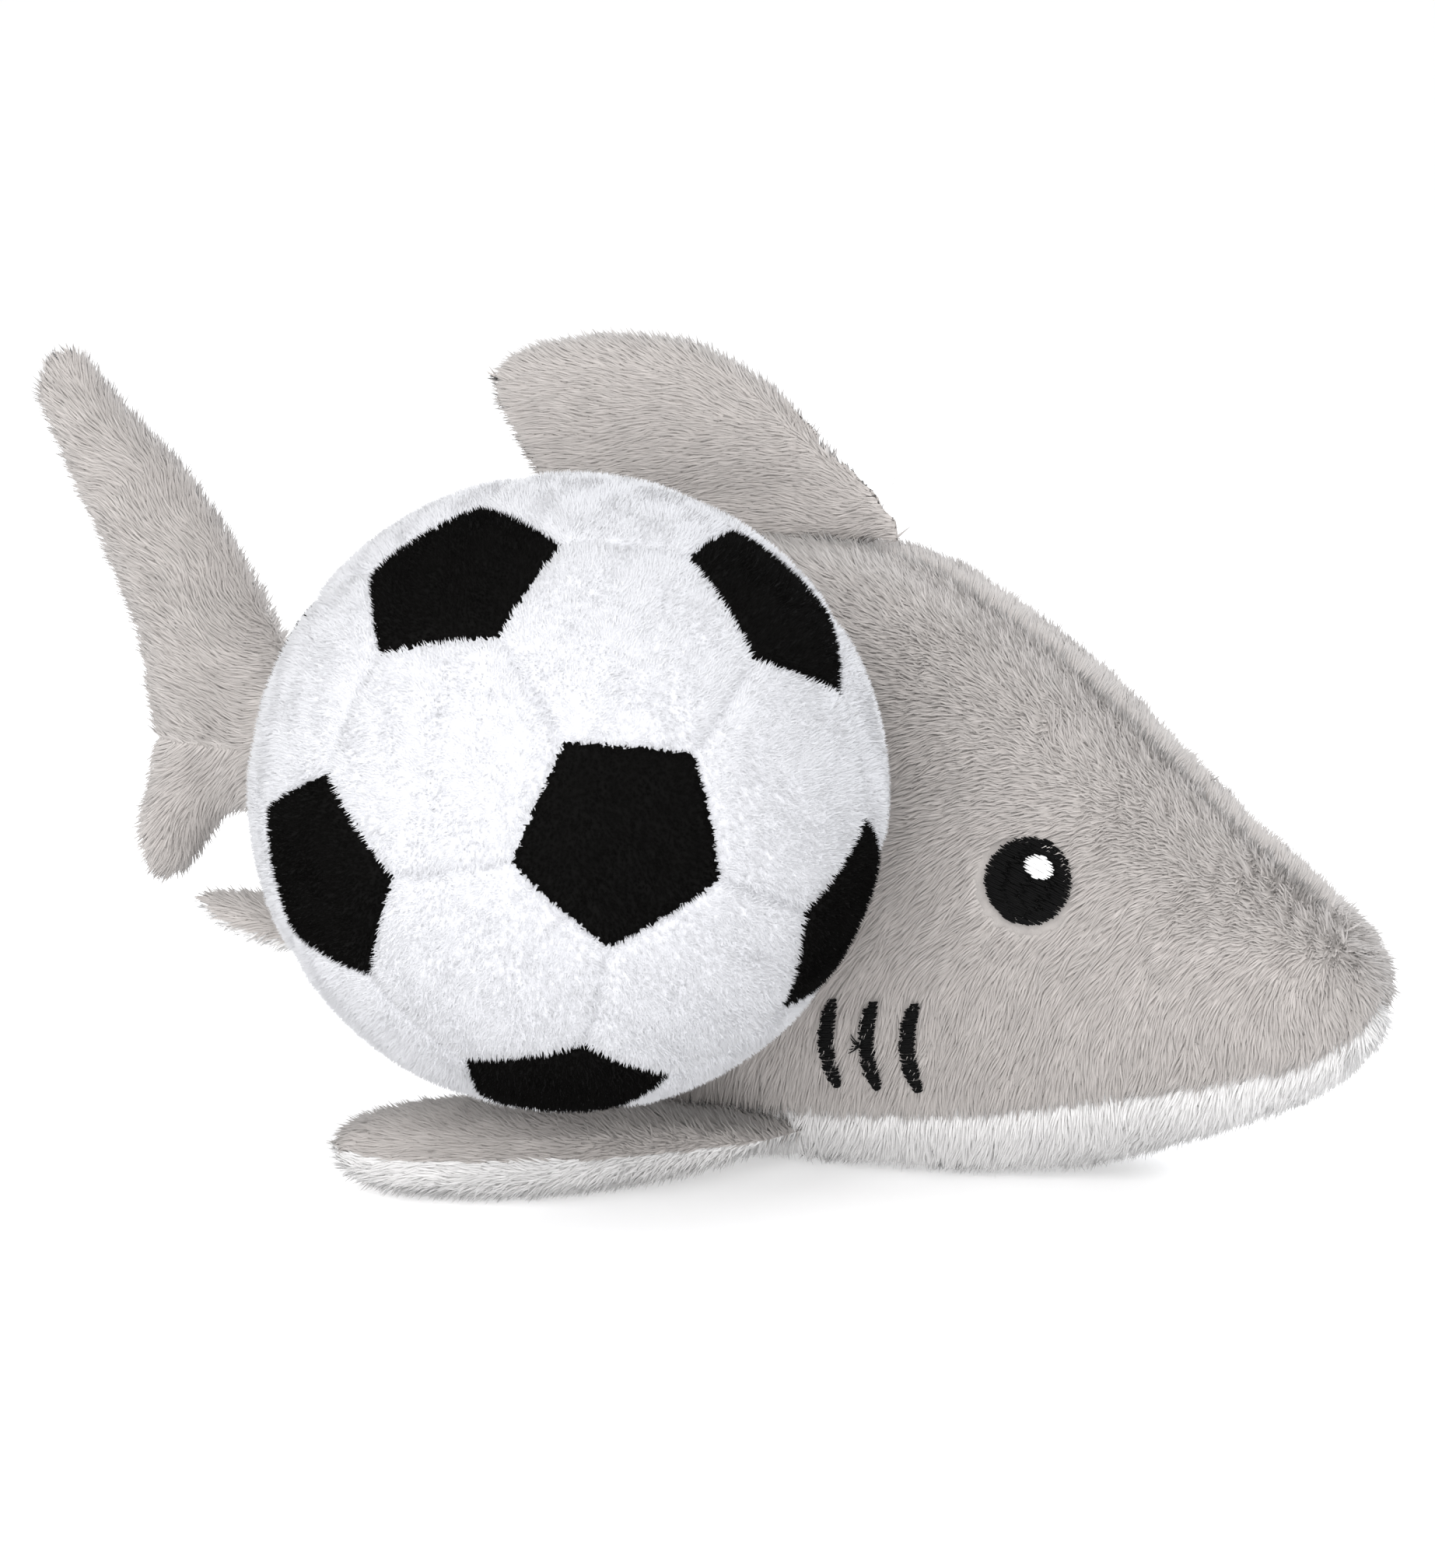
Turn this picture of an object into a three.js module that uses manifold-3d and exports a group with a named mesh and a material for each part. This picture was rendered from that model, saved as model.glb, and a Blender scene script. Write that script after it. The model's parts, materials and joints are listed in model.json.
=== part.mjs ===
// A plush shark with a small stuffed soccer ball sewn to its right flank.
// Millimetres. +X is the nose, +Y the shark's left side, +Z up.
// The origin is on the flat of the belly that the toy rests on.
import * as THREE from "three";
import { mergeVertices } from "three/addons/utils/BufferGeometryUtils.js";
import Module from "manifold-3d";

const wasm = await Module();
wasm.setup();

// ---------------------------------------------------------------- driving dimensions

// body
const headLength = 119; // origin to the tip of the nose
const rearLength = 69; // origin to the tail's pivot
const bodyHeight = 102;
const bodyWidth = 76;
const noseRound = 15; // length over which the nose rounds off
const headTurn = 14; // how far the nose is turned towards the ball's side
const turnStart = 25; // where the turn of the head begins
const restDepth = 4; // how far the belly is pressed flat by its own weight

// cloth
const plush = 2.2; // thickness of the pile fabric
const seamGap = 0.3; // between two panels
const slack = 0.5; // between a panel and its stuffing
const fit = 0.6; // between pieces that move on each other

// tail
const knuckleMargin = 2.6; // the tail root's knuckle is this much wider than the root
const tailLength = 57; // pivot to the rearmost point of the fluke
const upperLobe = 67; // height of the fluke above its notch
const lowerLobe = 26; // depth of the fluke below its notch
const flukeThickness = 15;

// dorsal fin
const dorsalChord = 58;
const dorsalHeight = 28.6; // hinge line to the top edge
const dorsalThickness = 15;
const dorsalRoot = 4; // radius of the pinched root
const dorsalFront = 28; // front end of the root, from the origin

// pectoral fins
const pectoralChord = 43;
const pectoralSpan = 34;
const pectoralThickness = 16.8;
const pectoralRoot = 4.6;
const pectoralFront = 23;
const pectoralPress = 1.2; // how far the underside is pressed flat by the toy's weight
const pectoralLift = 0.2; // underside of the fin above the ground

// pelvic fins
const pelvicChord = 22;
const pelvicSpan = 18;
const pelvicThickness = 8;
const pelvicRoot = 2.6;
const pelvicFront = -36;
const pelvicDroop = 24; // degrees below level
const pelvicAbove = 26; // degrees round the body from the belly seam up to the root
const pelvicStandOff = 3; // room for the tail to swing past the root

// ball
const ballDiameter = 98;
const ballCloth = 2;
const ballAlong = 8; // ball centre, from the origin towards the nose
const ballUp = 71.6; // ball centre above the ground
const ballStandOff = 1.6; // gap between the ball and the flank, bridged by the tack
const ballYaw = 31; // the black panel that faces out: degrees towards the nose
const ballPitch = 1; // and degrees upwards
const ballRoll = 48; // turn of the pattern about that panel
const tackRadius = 1.2;

// embroidery
const eyeDiameter = 13.4;
const eyeAlong = 63.5;
const eyeUp = 52;
const thread = 1; // height of satin stitch above the pile's backing
const highlightLength = 4.6;
const highlightWidth = 3.2;
const gillLength = 14.4;
const gillWidth = 2.2;
const gillUp = 25;
const gillFirst = 30.6; // rearmost gill mark, from the origin
const gillPitch = 6.6;
const gillBend = 1.3; // each mark bows towards the tail at its middle
const gillLean = 0.3; // and leans towards the nose at its top

// ---------------------------------------------------------------- colours

const grey = new THREE.MeshStandardMaterial({ color: 0xb4ada9, roughness: 0.95 });
const white = new THREE.MeshStandardMaterial({ color: 0xe2e1e0, roughness: 0.95 });
const ballWhite = new THREE.MeshStandardMaterial({ color: 0xeeeef2, roughness: 0.95 });
const ballBlack = new THREE.MeshStandardMaterial({ color: 0x121112, roughness: 0.95 });
const blackThread = new THREE.MeshStandardMaterial({ color: 0x0d0d0e, roughness: 0.55 });
const whiteThread = new THREE.MeshStandardMaterial({ color: 0xf2f2f2, roughness: 0.5 });
const fibre = new THREE.MeshStandardMaterial({ color: 0xf4f3ef, roughness: 1 });

// ---------------------------------------------------------------- mesh helpers

const vec = (x, y, z) => new THREE.Vector3(x, y, z);
const rad = THREE.MathUtils.degToRad;
const power = (value, exponent) => Math.sign(value) * Math.abs(value) ** exponent;
const range = (count) => Array.from({ length: count }, (_, i) => i);

/** Smooth curve through rows of [key, value, ...]: the value in the given column at a key. */
function along(rows, key, column) {
  const last = rows.length - 1;
  let i = 0;
  while (i < last - 1 && key > rows[i + 1][0]) i += 1;
  const slope = (j) => {
    const a = rows[Math.max(j - 1, 0)];
    const b = rows[Math.min(j + 1, last)];
    return (b[column] - a[column]) / (b[0] - a[0]);
  };
  const [a, b] = [rows[i], rows[i + 1]];
  const width = b[0] - a[0];
  const t = (key - a[0]) / width;
  const [t2, t3] = [t * t, t * t * t];
  return (
    (2 * t3 - 3 * t2 + 1) * a[column] +
    (t3 - 2 * t2 + t) * width * slope(i) +
    (3 * t2 - 2 * t3) * b[column] +
    (t3 - t2) * width * slope(i + 1)
  );
}

/** A closed geometry from points and triangles, turned to face outwards. */
function closedGeometry(points, triangles) {
  const volume = triangles.reduce(
    (sum, [a, b, c]) => sum + points[a].dot(points[b].clone().cross(points[c])),
    0,
  );
  const index = triangles.flatMap(([a, b, c]) => (volume < 0 ? [a, c, b] : [a, b, c]));
  const geometry = new THREE.BufferGeometry();
  geometry.setAttribute(
    "position",
    new THREE.Float32BufferAttribute(points.flatMap((p) => [p.x, p.y, p.z]), 3),
  );
  geometry.setIndex(index);
  geometry.computeVertexNormals();
  return geometry;
}

/** A solid through a row of rings with equal point counts, closed by a fan about a tip at each end. */
function loft(rings, tips = [null, null]) {
  const size = rings[0].length;
  const points = rings.flat();
  const triangles = [];
  for (const i of range(rings.length - 1)) {
    for (const j of range(size)) {
      const k = (j + 1) % size;
      const [a, b] = [i * size + j, i * size + k];
      const [c, d] = [a + size, b + size];
      triangles.push([a, b, d], [a, d, c]);
    }
  }
  const middle = (ring) => ring.reduce((sum, p) => sum.add(p), vec(0, 0, 0)).divideScalar(size);
  tips.forEach((tip, i) => {
    const end = i * (rings.length - 1);
    points.push(tip ?? middle(rings[end]));
    for (const j of range(size)) {
      const [a, b] = [end * size + j, end * size + ((j + 1) % size)];
      triangles.push(i === 0 ? [points.length - 1, b, a] : [points.length - 1, a, b]);
    }
  });
  return closedGeometry(points, triangles);
}

/** A sheet with thickness: an outer and an inner grid of points, joined round their rims. */
function sheet(outer, inner) {
  const [rows, columns] = [outer.length, outer[0].length];
  const points = [...outer.flat(), ...inner.flat()];
  const far = rows * columns;
  const triangles = [];
  for (const i of range(rows - 1)) {
    for (const j of range(columns - 1)) {
      const a = i * columns + j;
      const [b, c, d] = [a + 1, a + columns, a + columns + 1];
      triangles.push([a, b, d], [a, d, c]);
      triangles.push([far + a, far + d, far + b], [far + a, far + c, far + d]);
    }
  }
  const rim = [
    ...range(columns - 1),
    ...range(rows - 1).map((i) => i * columns + columns - 1),
    ...range(columns - 1).map((j) => rows * columns - 1 - j),
    ...range(rows - 1).map((i) => (rows - 1 - i) * columns),
  ];
  rim.forEach((a, i) => {
    const b = rim[(i + 1) % rim.length];
    triangles.push([a, far + a, far + b], [a, far + b, b]);
  });
  return closedGeometry(points, triangles);
}

function toSolid(geometry) {
  const bare = geometry.clone();
  const extras = Object.keys(bare.attributes).filter((name) => name !== "position");
  extras.forEach((name) => bare.deleteAttribute(name));
  const merged = mergeVertices(bare, 1e-4);
  return new wasm.Manifold(
    new wasm.Mesh({
      numProp: 3,
      vertProperties: new Float32Array(merged.attributes.position.array),
      triVerts: new Uint32Array(merged.index.array),
    }),
  );
}

function toGeometry(solid) {
  const mesh = solid.getMesh();
  const geometry = new THREE.BufferGeometry();
  geometry.setAttribute("position", new THREE.Float32BufferAttribute(mesh.vertProperties, 3));
  geometry.setIndex(Array.from(mesh.triVerts));
  geometry.computeVertexNormals();
  return geometry;
}

/** A box that fills everything beyond a plane across one axis: 1 keeps the far side, -1 the near one. */
function halfSpace(axis, side, offset) {
  const reach = 400;
  const box = new THREE.BoxGeometry(reach, reach, reach);
  const shift = vec(0, 0, 0).setComponent(axis, side * reach * 0.5 + offset);
  return toSolid(box.translate(shift.x, shift.y, shift.z));
}

const object = new THREE.Group();

function add(group, name, geometry, material) {
  const mesh = new THREE.Mesh(geometry, material);
  mesh.name = name;
  group.add(mesh);
  return mesh;
}

// ---------------------------------------------------------------- body surface

// Share of the rear (-) or head (+) length; then top, bottom, widest height as shares of
// the body's height, half width as a share of the full half width, and the angle below
// level at which the belly panel starts.
const bodyRows = [
  [-1.44, 0.785, 0.49, 0.635, 0.18, 90],
  [-1.2, 0.775, 0.465, 0.62, 0.26, 72],
  [-1, 0.765, 0.405, 0.6, 0.37, 62],
  [-0.82, 0.815, 0.275, 0.56, 0.52, 53],
  [-0.6, 0.89, 0.13, 0.51, 0.72, 47],
  [-0.33, 0.96, 0.025, 0.465, 0.9, 45],
  [0, 1, 0, 0.44, 0.99, 45],
  [0.15, 1, 0, 0.43, 1, 43],
  [0.28, 0.985, 0, 0.42, 0.98, 42],
  [0.43, 0.89, 0.005, 0.415, 0.91, 40],
  [0.57, 0.775, 0.045, 0.4, 0.82, 39],
  [0.71, 0.63, 0.1, 0.375, 0.71, 38],
  [0.84, 0.515, 0.165, 0.35, 0.58, 38],
  [0.93, 0.46, 0.21, 0.34, 0.49, 38],
  [1, 0.435, 0.235, 0.335, 0.43, 38],
];
const upperRound = 2.7; // superellipse powers of the section above and below its widest line
const lowerRound = 2.3;
const tailPivotX = -rearLength;
const noseCapStart = headLength - noseRound;

const bodyKey = (x) => x / (x < 0 ? rearLength : headLength);

function bodySection(x) {
  const key = bodyKey(x);
  const past = Math.max(x - noseCapStart, 0) / noseRound;
  const shrink = Math.sqrt(Math.max(1 - past * past, 0));
  const widest = along(bodyRows, key, 3) * bodyHeight;
  const turned = Math.max(x - turnStart, 0) / (headLength - turnStart);
  return {
    middle: -headTurn * turned * turned,
    widest,
    rise: (along(bodyRows, key, 1) * bodyHeight - widest) * shrink,
    drop: (widest - along(bodyRows, key, 2) * bodyHeight + restDepth * (x > tailPivotX)) * shrink,
    half: along(bodyRows, key, 4) * bodyWidth * 0.5 * shrink,
    seam: -rad(along(bodyRows, key, 5)),
  };
}

/** A point on the body's skin. The angle is 0 at the right flank's widest line and +90 on the back. */
function bodyPoint(x, angle) {
  const { middle, widest, rise, drop, half } = bodySection(x);
  const up = Math.sin(angle) >= 0;
  const round = 2 / (up ? upperRound : lowerRound);
  const y = middle - power(Math.cos(angle), round) * half;
  const z = widest + power(Math.sin(angle), round) * (up ? rise : drop);
  return vec(x, y, z);
}

function bodyNormal(x, angle) {
  const step = 0.01;
  const alongX = bodyPoint(x + step, angle).sub(bodyPoint(x - step, angle));
  const around = bodyPoint(x, angle + step).sub(bodyPoint(x, angle - step));
  return alongX.cross(around).normalize();
}

/** The skin moved inwards, with its underside pressed flat on the ground. */
function bodyInset(x, angle, inset) {
  const p = bodyPoint(x, angle).addScaledVector(bodyNormal(x, angle), -inset);
  p.z = Math.max(p.z, inset);
  return p;
}

/** The place on a flank (-1 right, 1 left) that is seen at x and z from the side, and its angle. */
function flank(side, x, z) {
  const { middle, widest, rise, drop, half } = bodySection(x);
  const share = (z - widest) / (z > widest ? rise : drop);
  const round = z > widest ? upperRound : lowerRound;
  const level = Math.sign(share) * Math.asin(Math.min(Math.abs(share), 1) ** (round / 2));
  const angle = side < 0 ? level : Math.PI - level;
  const point = vec(x, middle + side * half * (1 - Math.abs(share) ** round) ** (1 / round), z);
  return { point, normal: bodyNormal(x, angle) };
}

// ---------------------------------------------------------------- body panels and stuffing

const knuckle = bodySection(tailPivotX).half + knuckleMargin;
const bodyStart = tailPivotX + 2; // rear edge of the body's panels, inside the cut for the tail
const bodySteps = 13;
const noseSteps = 3;
const panelNose = 82; // degrees round the nose cap at which the panels end
const stuffingNose = 70;

/** Where the body's rings lie, closer together round the nose. */
const ringPlaces = (lastAngle) => [
  ...range(bodySteps).map((i) => bodyStart + ((noseCapStart - bodyStart) * i) / bodySteps),
  ...range(noseSteps + 1).map((i) => noseCapStart + noseRound * Math.sin((rad(lastAngle) * i) / noseSteps)),
];

function pivotCylinder(radius) {
  const height = bodyHeight * 3;
  const cylinder = new THREE.CylinderGeometry(radius, radius, height, 28);
  return toSolid(cylinder.rotateX(Math.PI / 2).translate(tailPivotX, 0, bodyHeight / 2));
}

const hollow = pivotCylinder(knuckle + fit);
const cutForTail = (geometry) => toGeometry(toSolid(geometry).subtract(hollow));

const sideColumns = 8;
const bellyColumns = 12;
const stuffingSides = 24;

/** Even turns of a full circle. */
const turns = (count) => range(count).map((j) => (j / count) * Math.PI * 2);

/** A body panel between two edge angles, each a function of x. */
function bodyPanel(from, to, shiftY, columns) {
  const grid = (inset) =>
    ringPlaces(panelNose).map((x) =>
      range(columns + 1).map((j) => {
        const angle = THREE.MathUtils.lerp(from(x), to(x), j / columns);
        const p = bodyInset(x, angle, inset);
        p.y += shiftY;
        return p;
      }),
    );
  return cutForTail(sheet(grid(0), grid(plush)));
}

const seamAngle = (x) => bodySection(x).seam;
const seamHalf = (x) => seamGap / 2 / Math.max(bodySection(x).half, 2);
const lowerEdge = (x) => seamAngle(x) + seamHalf(x);
const bellyEdge = (x) => seamAngle(x) - seamHalf(x);
const back = () => Math.PI / 2;

add(object, "right_side_panel", bodyPanel(back, lowerEdge, -seamGap / 2, sideColumns), grey);
add(
  object,
  "left_side_panel",
  bodyPanel(back, (x) => Math.PI - lowerEdge(x), seamGap / 2, sideColumns),
  grey,
);
add(
  object,
  "belly_panel",
  bodyPanel(bellyEdge, (x) => -Math.PI - bellyEdge(x), 0, bellyColumns),
  white,
);
add(
  object,
  "body_stuffing",
  cutForTail(
    loft(
      ringPlaces(stuffingNose).map((x) =>
        turns(stuffingSides).map((angle) => bodyInset(x, angle, plush + slack)),
      ),
    ),
  ),
  fibre,
);

// ---------------------------------------------------------------- tail

// Height above the notch as a share of that lobe's height; then the trailing and leading
// edges as shares of the tail's length behind its pivot, and thickness as a share.
const flukeRows = [
  [-1, 0.58, 0.53, 0.25],
  [-0.9, 0.63, 0.46, 0.62],
  [-0.65, 0.67, 0.38, 0.9],
  [-0.35, 0.64, 0.27, 1],
  [0, 0.62, 0.1, 1],
  [0.3, 0.69, 0.1, 1],
  [0.5, 0.79, 0.265, 1],
  [0.7, 0.905, 0.45, 0.95],
  [0.88, 0.99, 0.68, 0.78],
  [0.96, 0.95, 0.76, 0.55],
  [1, 0.88, 0.82, 0.25],
];
const notchUp = bodySection(tailPivotX).widest;

const tailSides = 12;
const flukeSteps = 12;
const stemSteps = 5;
const stemLap = 2; // the stem starts this far ahead of the knuckle
const stemEnd = tailPivotX - rearLength * 0.4; // and ends inside the fluke
const thinnest = 0.2; // half thickness and half chord never fall under these
const narrowest = 0.4;

function fluke(inset) {
  const levels = range(flukeSteps + 1).map((i) => -Math.cos((Math.PI * i) / flukeSteps));
  const rings = levels.map((level) => {
    const z = notchUp + (level > 0 ? upperLobe - inset : lowerLobe - inset) * level;
    const rear = tailPivotX - along(flukeRows, level, 1) * tailLength + inset;
    const front = tailPivotX - along(flukeRows, level, 2) * tailLength - inset;
    const thick = Math.max(along(flukeRows, level, 3) * flukeThickness * 0.5 - inset, thinnest);
    const chord = Math.max((front - rear) / 2, narrowest);
    return turns(tailSides).map((angle) =>
      vec((front + rear) / 2 + Math.cos(angle) * chord, Math.sin(angle) * thick, z),
    );
  });
  return toSolid(loft(rings));
}

/** The stem between the body and the fluke, which carries on the body's own surface. */
function stem(inset) {
  const start = tailPivotX + knuckle + stemLap;
  const places = range(stemSteps + 1).map((i) => THREE.MathUtils.lerp(start, stemEnd, i / stemSteps));
  return toSolid(loft(places.map((x) => turns(tailSides).map((angle) => bodyInset(x, angle, inset)))));
}

const behindPivot = halfSpace(0, -1, tailPivotX).add(pivotCylinder(knuckle));
const tailSolid = (inset) => fluke(inset).add(stem(inset));
const tailShell = tailSolid(0).subtract(tailSolid(plush)).intersect(behindPivot);
const tail = new THREE.Group();
object.add(tail);
add(tail, "tail_right_panel", toGeometry(tailShell.intersect(halfSpace(1, -1, -seamGap / 2))), grey);
add(tail, "tail_left_panel", toGeometry(tailShell.intersect(halfSpace(1, 1, seamGap / 2))), grey);
add(tail, "tail_stuffing", toGeometry(tailSolid(plush + slack).intersect(behindPivot)), fibre);

// ---------------------------------------------------------------- fins

// Each fin lies in its own plane: x along its hinge line towards the nose, y away from the
// hinge, z through its thickness. A row holds the share of the span, then the leading and
// trailing edges as shares of the root chord, and the thickness as a share.
const dorsalRows = [
  [0, 1, 0, 0],
  [0.16, 0.925, -0.035, 0.45],
  [0.39, 0.84, -0.085, 0.9],
  [0.58, 0.76, -0.13, 1],
  [0.7, 0.68, -0.143, 1],
  [0.85, 0.57, -0.126, 0.85],
  [0.93, 0.48, -0.057, 0.7],
  [0.98, 0.36, 0.043, 0.5],
  [1, 0.27, 0.19, 0.3],
];
const pectoralRows = [
  [0, 1, 0, 0],
  [0.25, 0.84, -0.24, 0.75],
  [0.45, 0.68, -0.43, 1],
  [0.64, 0.52, -0.54, 1],
  [0.82, 0.28, -0.555, 0.85],
  [0.93, 0.06, -0.49, 0.6],
  [1, -0.16, -0.36, 0.25],
];
const pelvicRows = [
  [0, 1, 0, 0],
  [0.3, 0.8, -0.27, 0.8],
  [0.6, 0.52, -0.55, 1],
  [0.82, 0.22, -0.68, 0.85],
  [0.94, 0, -0.68, 0.6],
  [1, -0.18, -0.54, 0.25],
];

const finSides = 12;
const finSteps = 7;
const finRound = 0.9; // power of the fin's section: fuller than an ellipse
const tipStart = 0.8; // share of the span at which the thickness rounds off
const tipRest = 0.06; // share of it, squared, that is left at the very tip
const rootTurns = [75, 38, 0]; // degrees round the back of the knuckle

/**
 * A padded fin whose root is a round knuckle about the hinge line. Where it rests on the
 * ground it is flat beyond a depth under its plane, and down is the ground's side of the plane.
 */
function fin({ rows, chord, span, thickness, root, flat = Infinity, down = 1 }, inset) {
  const ring = (y, front, rear, half) =>
    turns(finSides).map((angle) => {
      const reach = Math.max((front - rear) / 2 - inset, narrowest);
      const depth = down * power(Math.sin(angle), finRound) * Math.max(half, thinnest);
      const z = down * Math.min(depth, flat - inset);
      return vec((front + rear) / 2 + Math.cos(angle) * reach, y, z);
    });
  const radius = root - inset;
  const rootRings = rootTurns.map((degrees) =>
    ring(-radius * Math.sin(rad(degrees)), chord, 0, radius * Math.cos(rad(degrees))),
  );
  const finRings = range(finSteps).map((i) => {
    const share = Math.sin((Math.PI * (i + 1)) / (2 * finSteps));
    const swell = along(rows, share, 3) * (thickness / 2 - root);
    const pastTip = Math.max(share - tipStart, 0) / (1 - tipStart);
    const tip = Math.sqrt(Math.max(1 - pastTip ** 2, tipRest));
    return ring(
      share * (span - inset),
      along(rows, share, 1) * chord,
      along(rows, share, 2) * chord,
      (root + swell) * tip - inset,
    );
  });
  return toSolid(loft([...rootRings, ...finRings]));
}

/** Two panels, and a stuffing where the fin is stuffed, in a group on the hinge line. */
function addFin(group, shape, panels, stuffingName) {
  const shell = stuffingName ? fin(shape, 0).subtract(fin(shape, plush)) : fin(shape, 0);
  for (const [name, side, material] of panels) {
    add(group, name, toGeometry(shell.intersect(halfSpace(2, side, (side * seamGap) / 2))), material);
  }
  if (stuffingName) add(group, stuffingName, toGeometry(fin(shape, plush + slack)), fibre);
}

const frameOf = (xAxis, yAxis) => {
  const z = xAxis.clone().cross(yAxis).normalize();
  return new THREE.Matrix4().makeBasis(xAxis, z.clone().cross(xAxis).normalize(), z);
};

// dorsal fin: its hinge line clears the highest part of the back under it
const dorsalRear = dorsalFront - dorsalChord;
const backAt = (x) => bodyPoint(x, Math.PI / 2).z;
const backSlope = (backAt(dorsalFront) - backAt(dorsalRear)) / dorsalChord;
const backBulge = Math.max(
  ...range(13).map((i) => {
    const x = dorsalRear + (dorsalChord * i) / 12;
    return backAt(x) - backAt(dorsalRear) - backSlope * (x - dorsalRear);
  }),
);
const dorsal = new THREE.Group();
const dorsalAlong = vec(1, 0, backSlope).normalize();
dorsal.quaternion.setFromRotationMatrix(frameOf(dorsalAlong, vec(0, 0, 1)));
dorsal.position.set(dorsalRear, 0, backAt(dorsalRear) + backBulge + dorsalRoot + fit);
object.add(dorsal);
const dorsalShape = {
  rows: dorsalRows,
  chord: dorsalChord,
  span: dorsalHeight,
  thickness: dorsalThickness,
  root: dorsalRoot,
};
addFin(
  dorsal,
  dorsalShape,
  [
    ["dorsal_fin_right_panel", 1, grey],
    ["dorsal_fin_left_panel", -1, grey],
  ],
  "dorsal_fin_stuffing",
);

/**
 * How far out a round of the given radius has to sit to clear the right flank, with its
 * centre at a height. The round is a rod along x, or with roundEnds a ball between from and to.
 */
function clearance(height, radius, from, to, roundEnds = false) {
  let reach = 0;
  for (const i of range(81)) {
    const x = THREE.MathUtils.lerp(from, to, i / 80);
    const offMiddle = roundEnds ? x - (from + to) / 2 : 0;
    for (const j of range(81)) {
      const skin = bodyPoint(x, rad(-88 + (176 * j) / 80));
      const square = radius ** 2 - offMiddle ** 2 - (skin.z - height) ** 2;
      if (square > 0) reach = Math.max(reach, Math.sqrt(square) - skin.y);
    }
  }
  return reach;
}

/** A line along the right flank, some degrees above the belly seam and stood off from the skin. */
function flankHinge(front, chord, above, standOff) {
  const angleAt = (x) => seamAngle(x) + rad(above);
  const at = (x) => bodyPoint(x, angleAt(x));
  const [a, b] = [at(front), at(front - chord)];
  const line = a.clone().sub(b).normalize();
  const middle = a.clone().add(b).multiplyScalar(0.5);
  const out = bodyNormal(middle.x, angleAt(middle.x));
  out.addScaledVector(line, -out.dot(line)).normalize();
  const bulges = range(9).map((i) => at(front - (chord * i) / 8).sub(b).dot(out));
  return { start: b.addScaledVector(out, Math.max(...bulges) + standOff), line };
}

const pectoralShape = {
  rows: pectoralRows,
  chord: pectoralChord,
  span: pectoralSpan,
  thickness: pectoralThickness,
  root: pectoralRoot,
  flat: pectoralThickness / 2 - pectoralPress,
};
const pectoralUp = pectoralShape.flat + pectoralLift;
const pectoralRear = pectoralFront - pectoralChord;
const pectoralOut = clearance(pectoralUp, pectoralRoot + fit, pectoralRear, pectoralFront);
const pelvicShape = {
  rows: pelvicRows,
  chord: pelvicChord,
  span: pelvicSpan,
  thickness: pelvicThickness,
  root: pelvicRoot,
};
const pelvicHinge = flankHinge(pelvicFront, pelvicChord, pelvicAbove, pelvicRoot + pelvicStandOff);
const pelvicDown = Math.sin(rad(pelvicDroop));
const pelvicOut = Math.cos(rad(pelvicDroop));

for (const [side, y] of [
  ["right", -1],
  ["left", 1],
]) {
  const pectoral = new THREE.Group();
  const level = vec(1, 0, 0);
  pectoral.quaternion.setFromRotationMatrix(frameOf(level, vec(0, y, 0)));
  pectoral.position.set(pectoralRear, y * pectoralOut, pectoralUp);
  object.add(pectoral);
  addFin(
    pectoral,
    { ...pectoralShape, down: -y },
    [
      [`${side}_pectoral_upper_panel`, y, grey],
      [`${side}_pectoral_lower_panel`, -y, white],
    ],
    `${side}_pectoral_stuffing`,
  );
  const pelvic = new THREE.Group();
  const root = pelvicHinge.line.clone();
  root.y *= -y;
  pelvic.quaternion.setFromRotationMatrix(frameOf(root, vec(0, y * pelvicOut, -pelvicDown)));
  pelvic.position.set(pelvicHinge.start.x, -pelvicHinge.start.y * y, pelvicHinge.start.z);
  object.add(pelvic);
  addFin(
    pelvic,
    pelvicShape,
    [
      [`${side}_pelvic_upper_panel`, y, grey],
      [`${side}_pelvic_lower_panel`, -y, white],
    ],
    null,
  );
}

// ---------------------------------------------------------------- embroidery

/** A raised patch on a flank: an ellipse about a place, between two heights. */
function patch(side, x, z, length, width, tilt, low, high) {
  const { point, normal } = flank(side, x, z);
  const across = vec(0, 0, -side).cross(normal).normalize();
  const upward = vec(0, 0, 1).projectOnPlane(normal).normalize();
  const ring = (radius, height) =>
    range(14).map((j) => {
      const turn = (j / 14) * Math.PI * 2;
      const [u, v] = [Math.cos(turn) * radius * length * 0.5, Math.sin(turn) * radius * width * 0.5];
      const place = point
        .clone()
        .addScaledVector(across, u * Math.cos(tilt) - v * Math.sin(tilt))
        .addScaledVector(upward, u * Math.sin(tilt) + v * Math.cos(tilt));
      const skin = flank(side, place.x, place.z);
      return skin.point.addScaledVector(skin.normal, height);
    });
  return loft([ring(0.5, low), ring(1, low), ring(0.94, high), ring(0.45, high)]);
}

/** A strip on a flank through a few places, [across x, across z] wide, between two heights. */
function strip(side, places, [wideX, wideZ], low, high) {
  const rows = places.map(([x, z]) =>
    [-0.5, 0.5].map((half) => flank(side, x + half * wideX, z + half * wideZ)),
  );
  const grid = (height) =>
    rows.map((row) => row.map(({ point, normal }) => point.clone().addScaledVector(normal, height)));
  return toSolid(sheet(grid(high), grid(low)));
}

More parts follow.
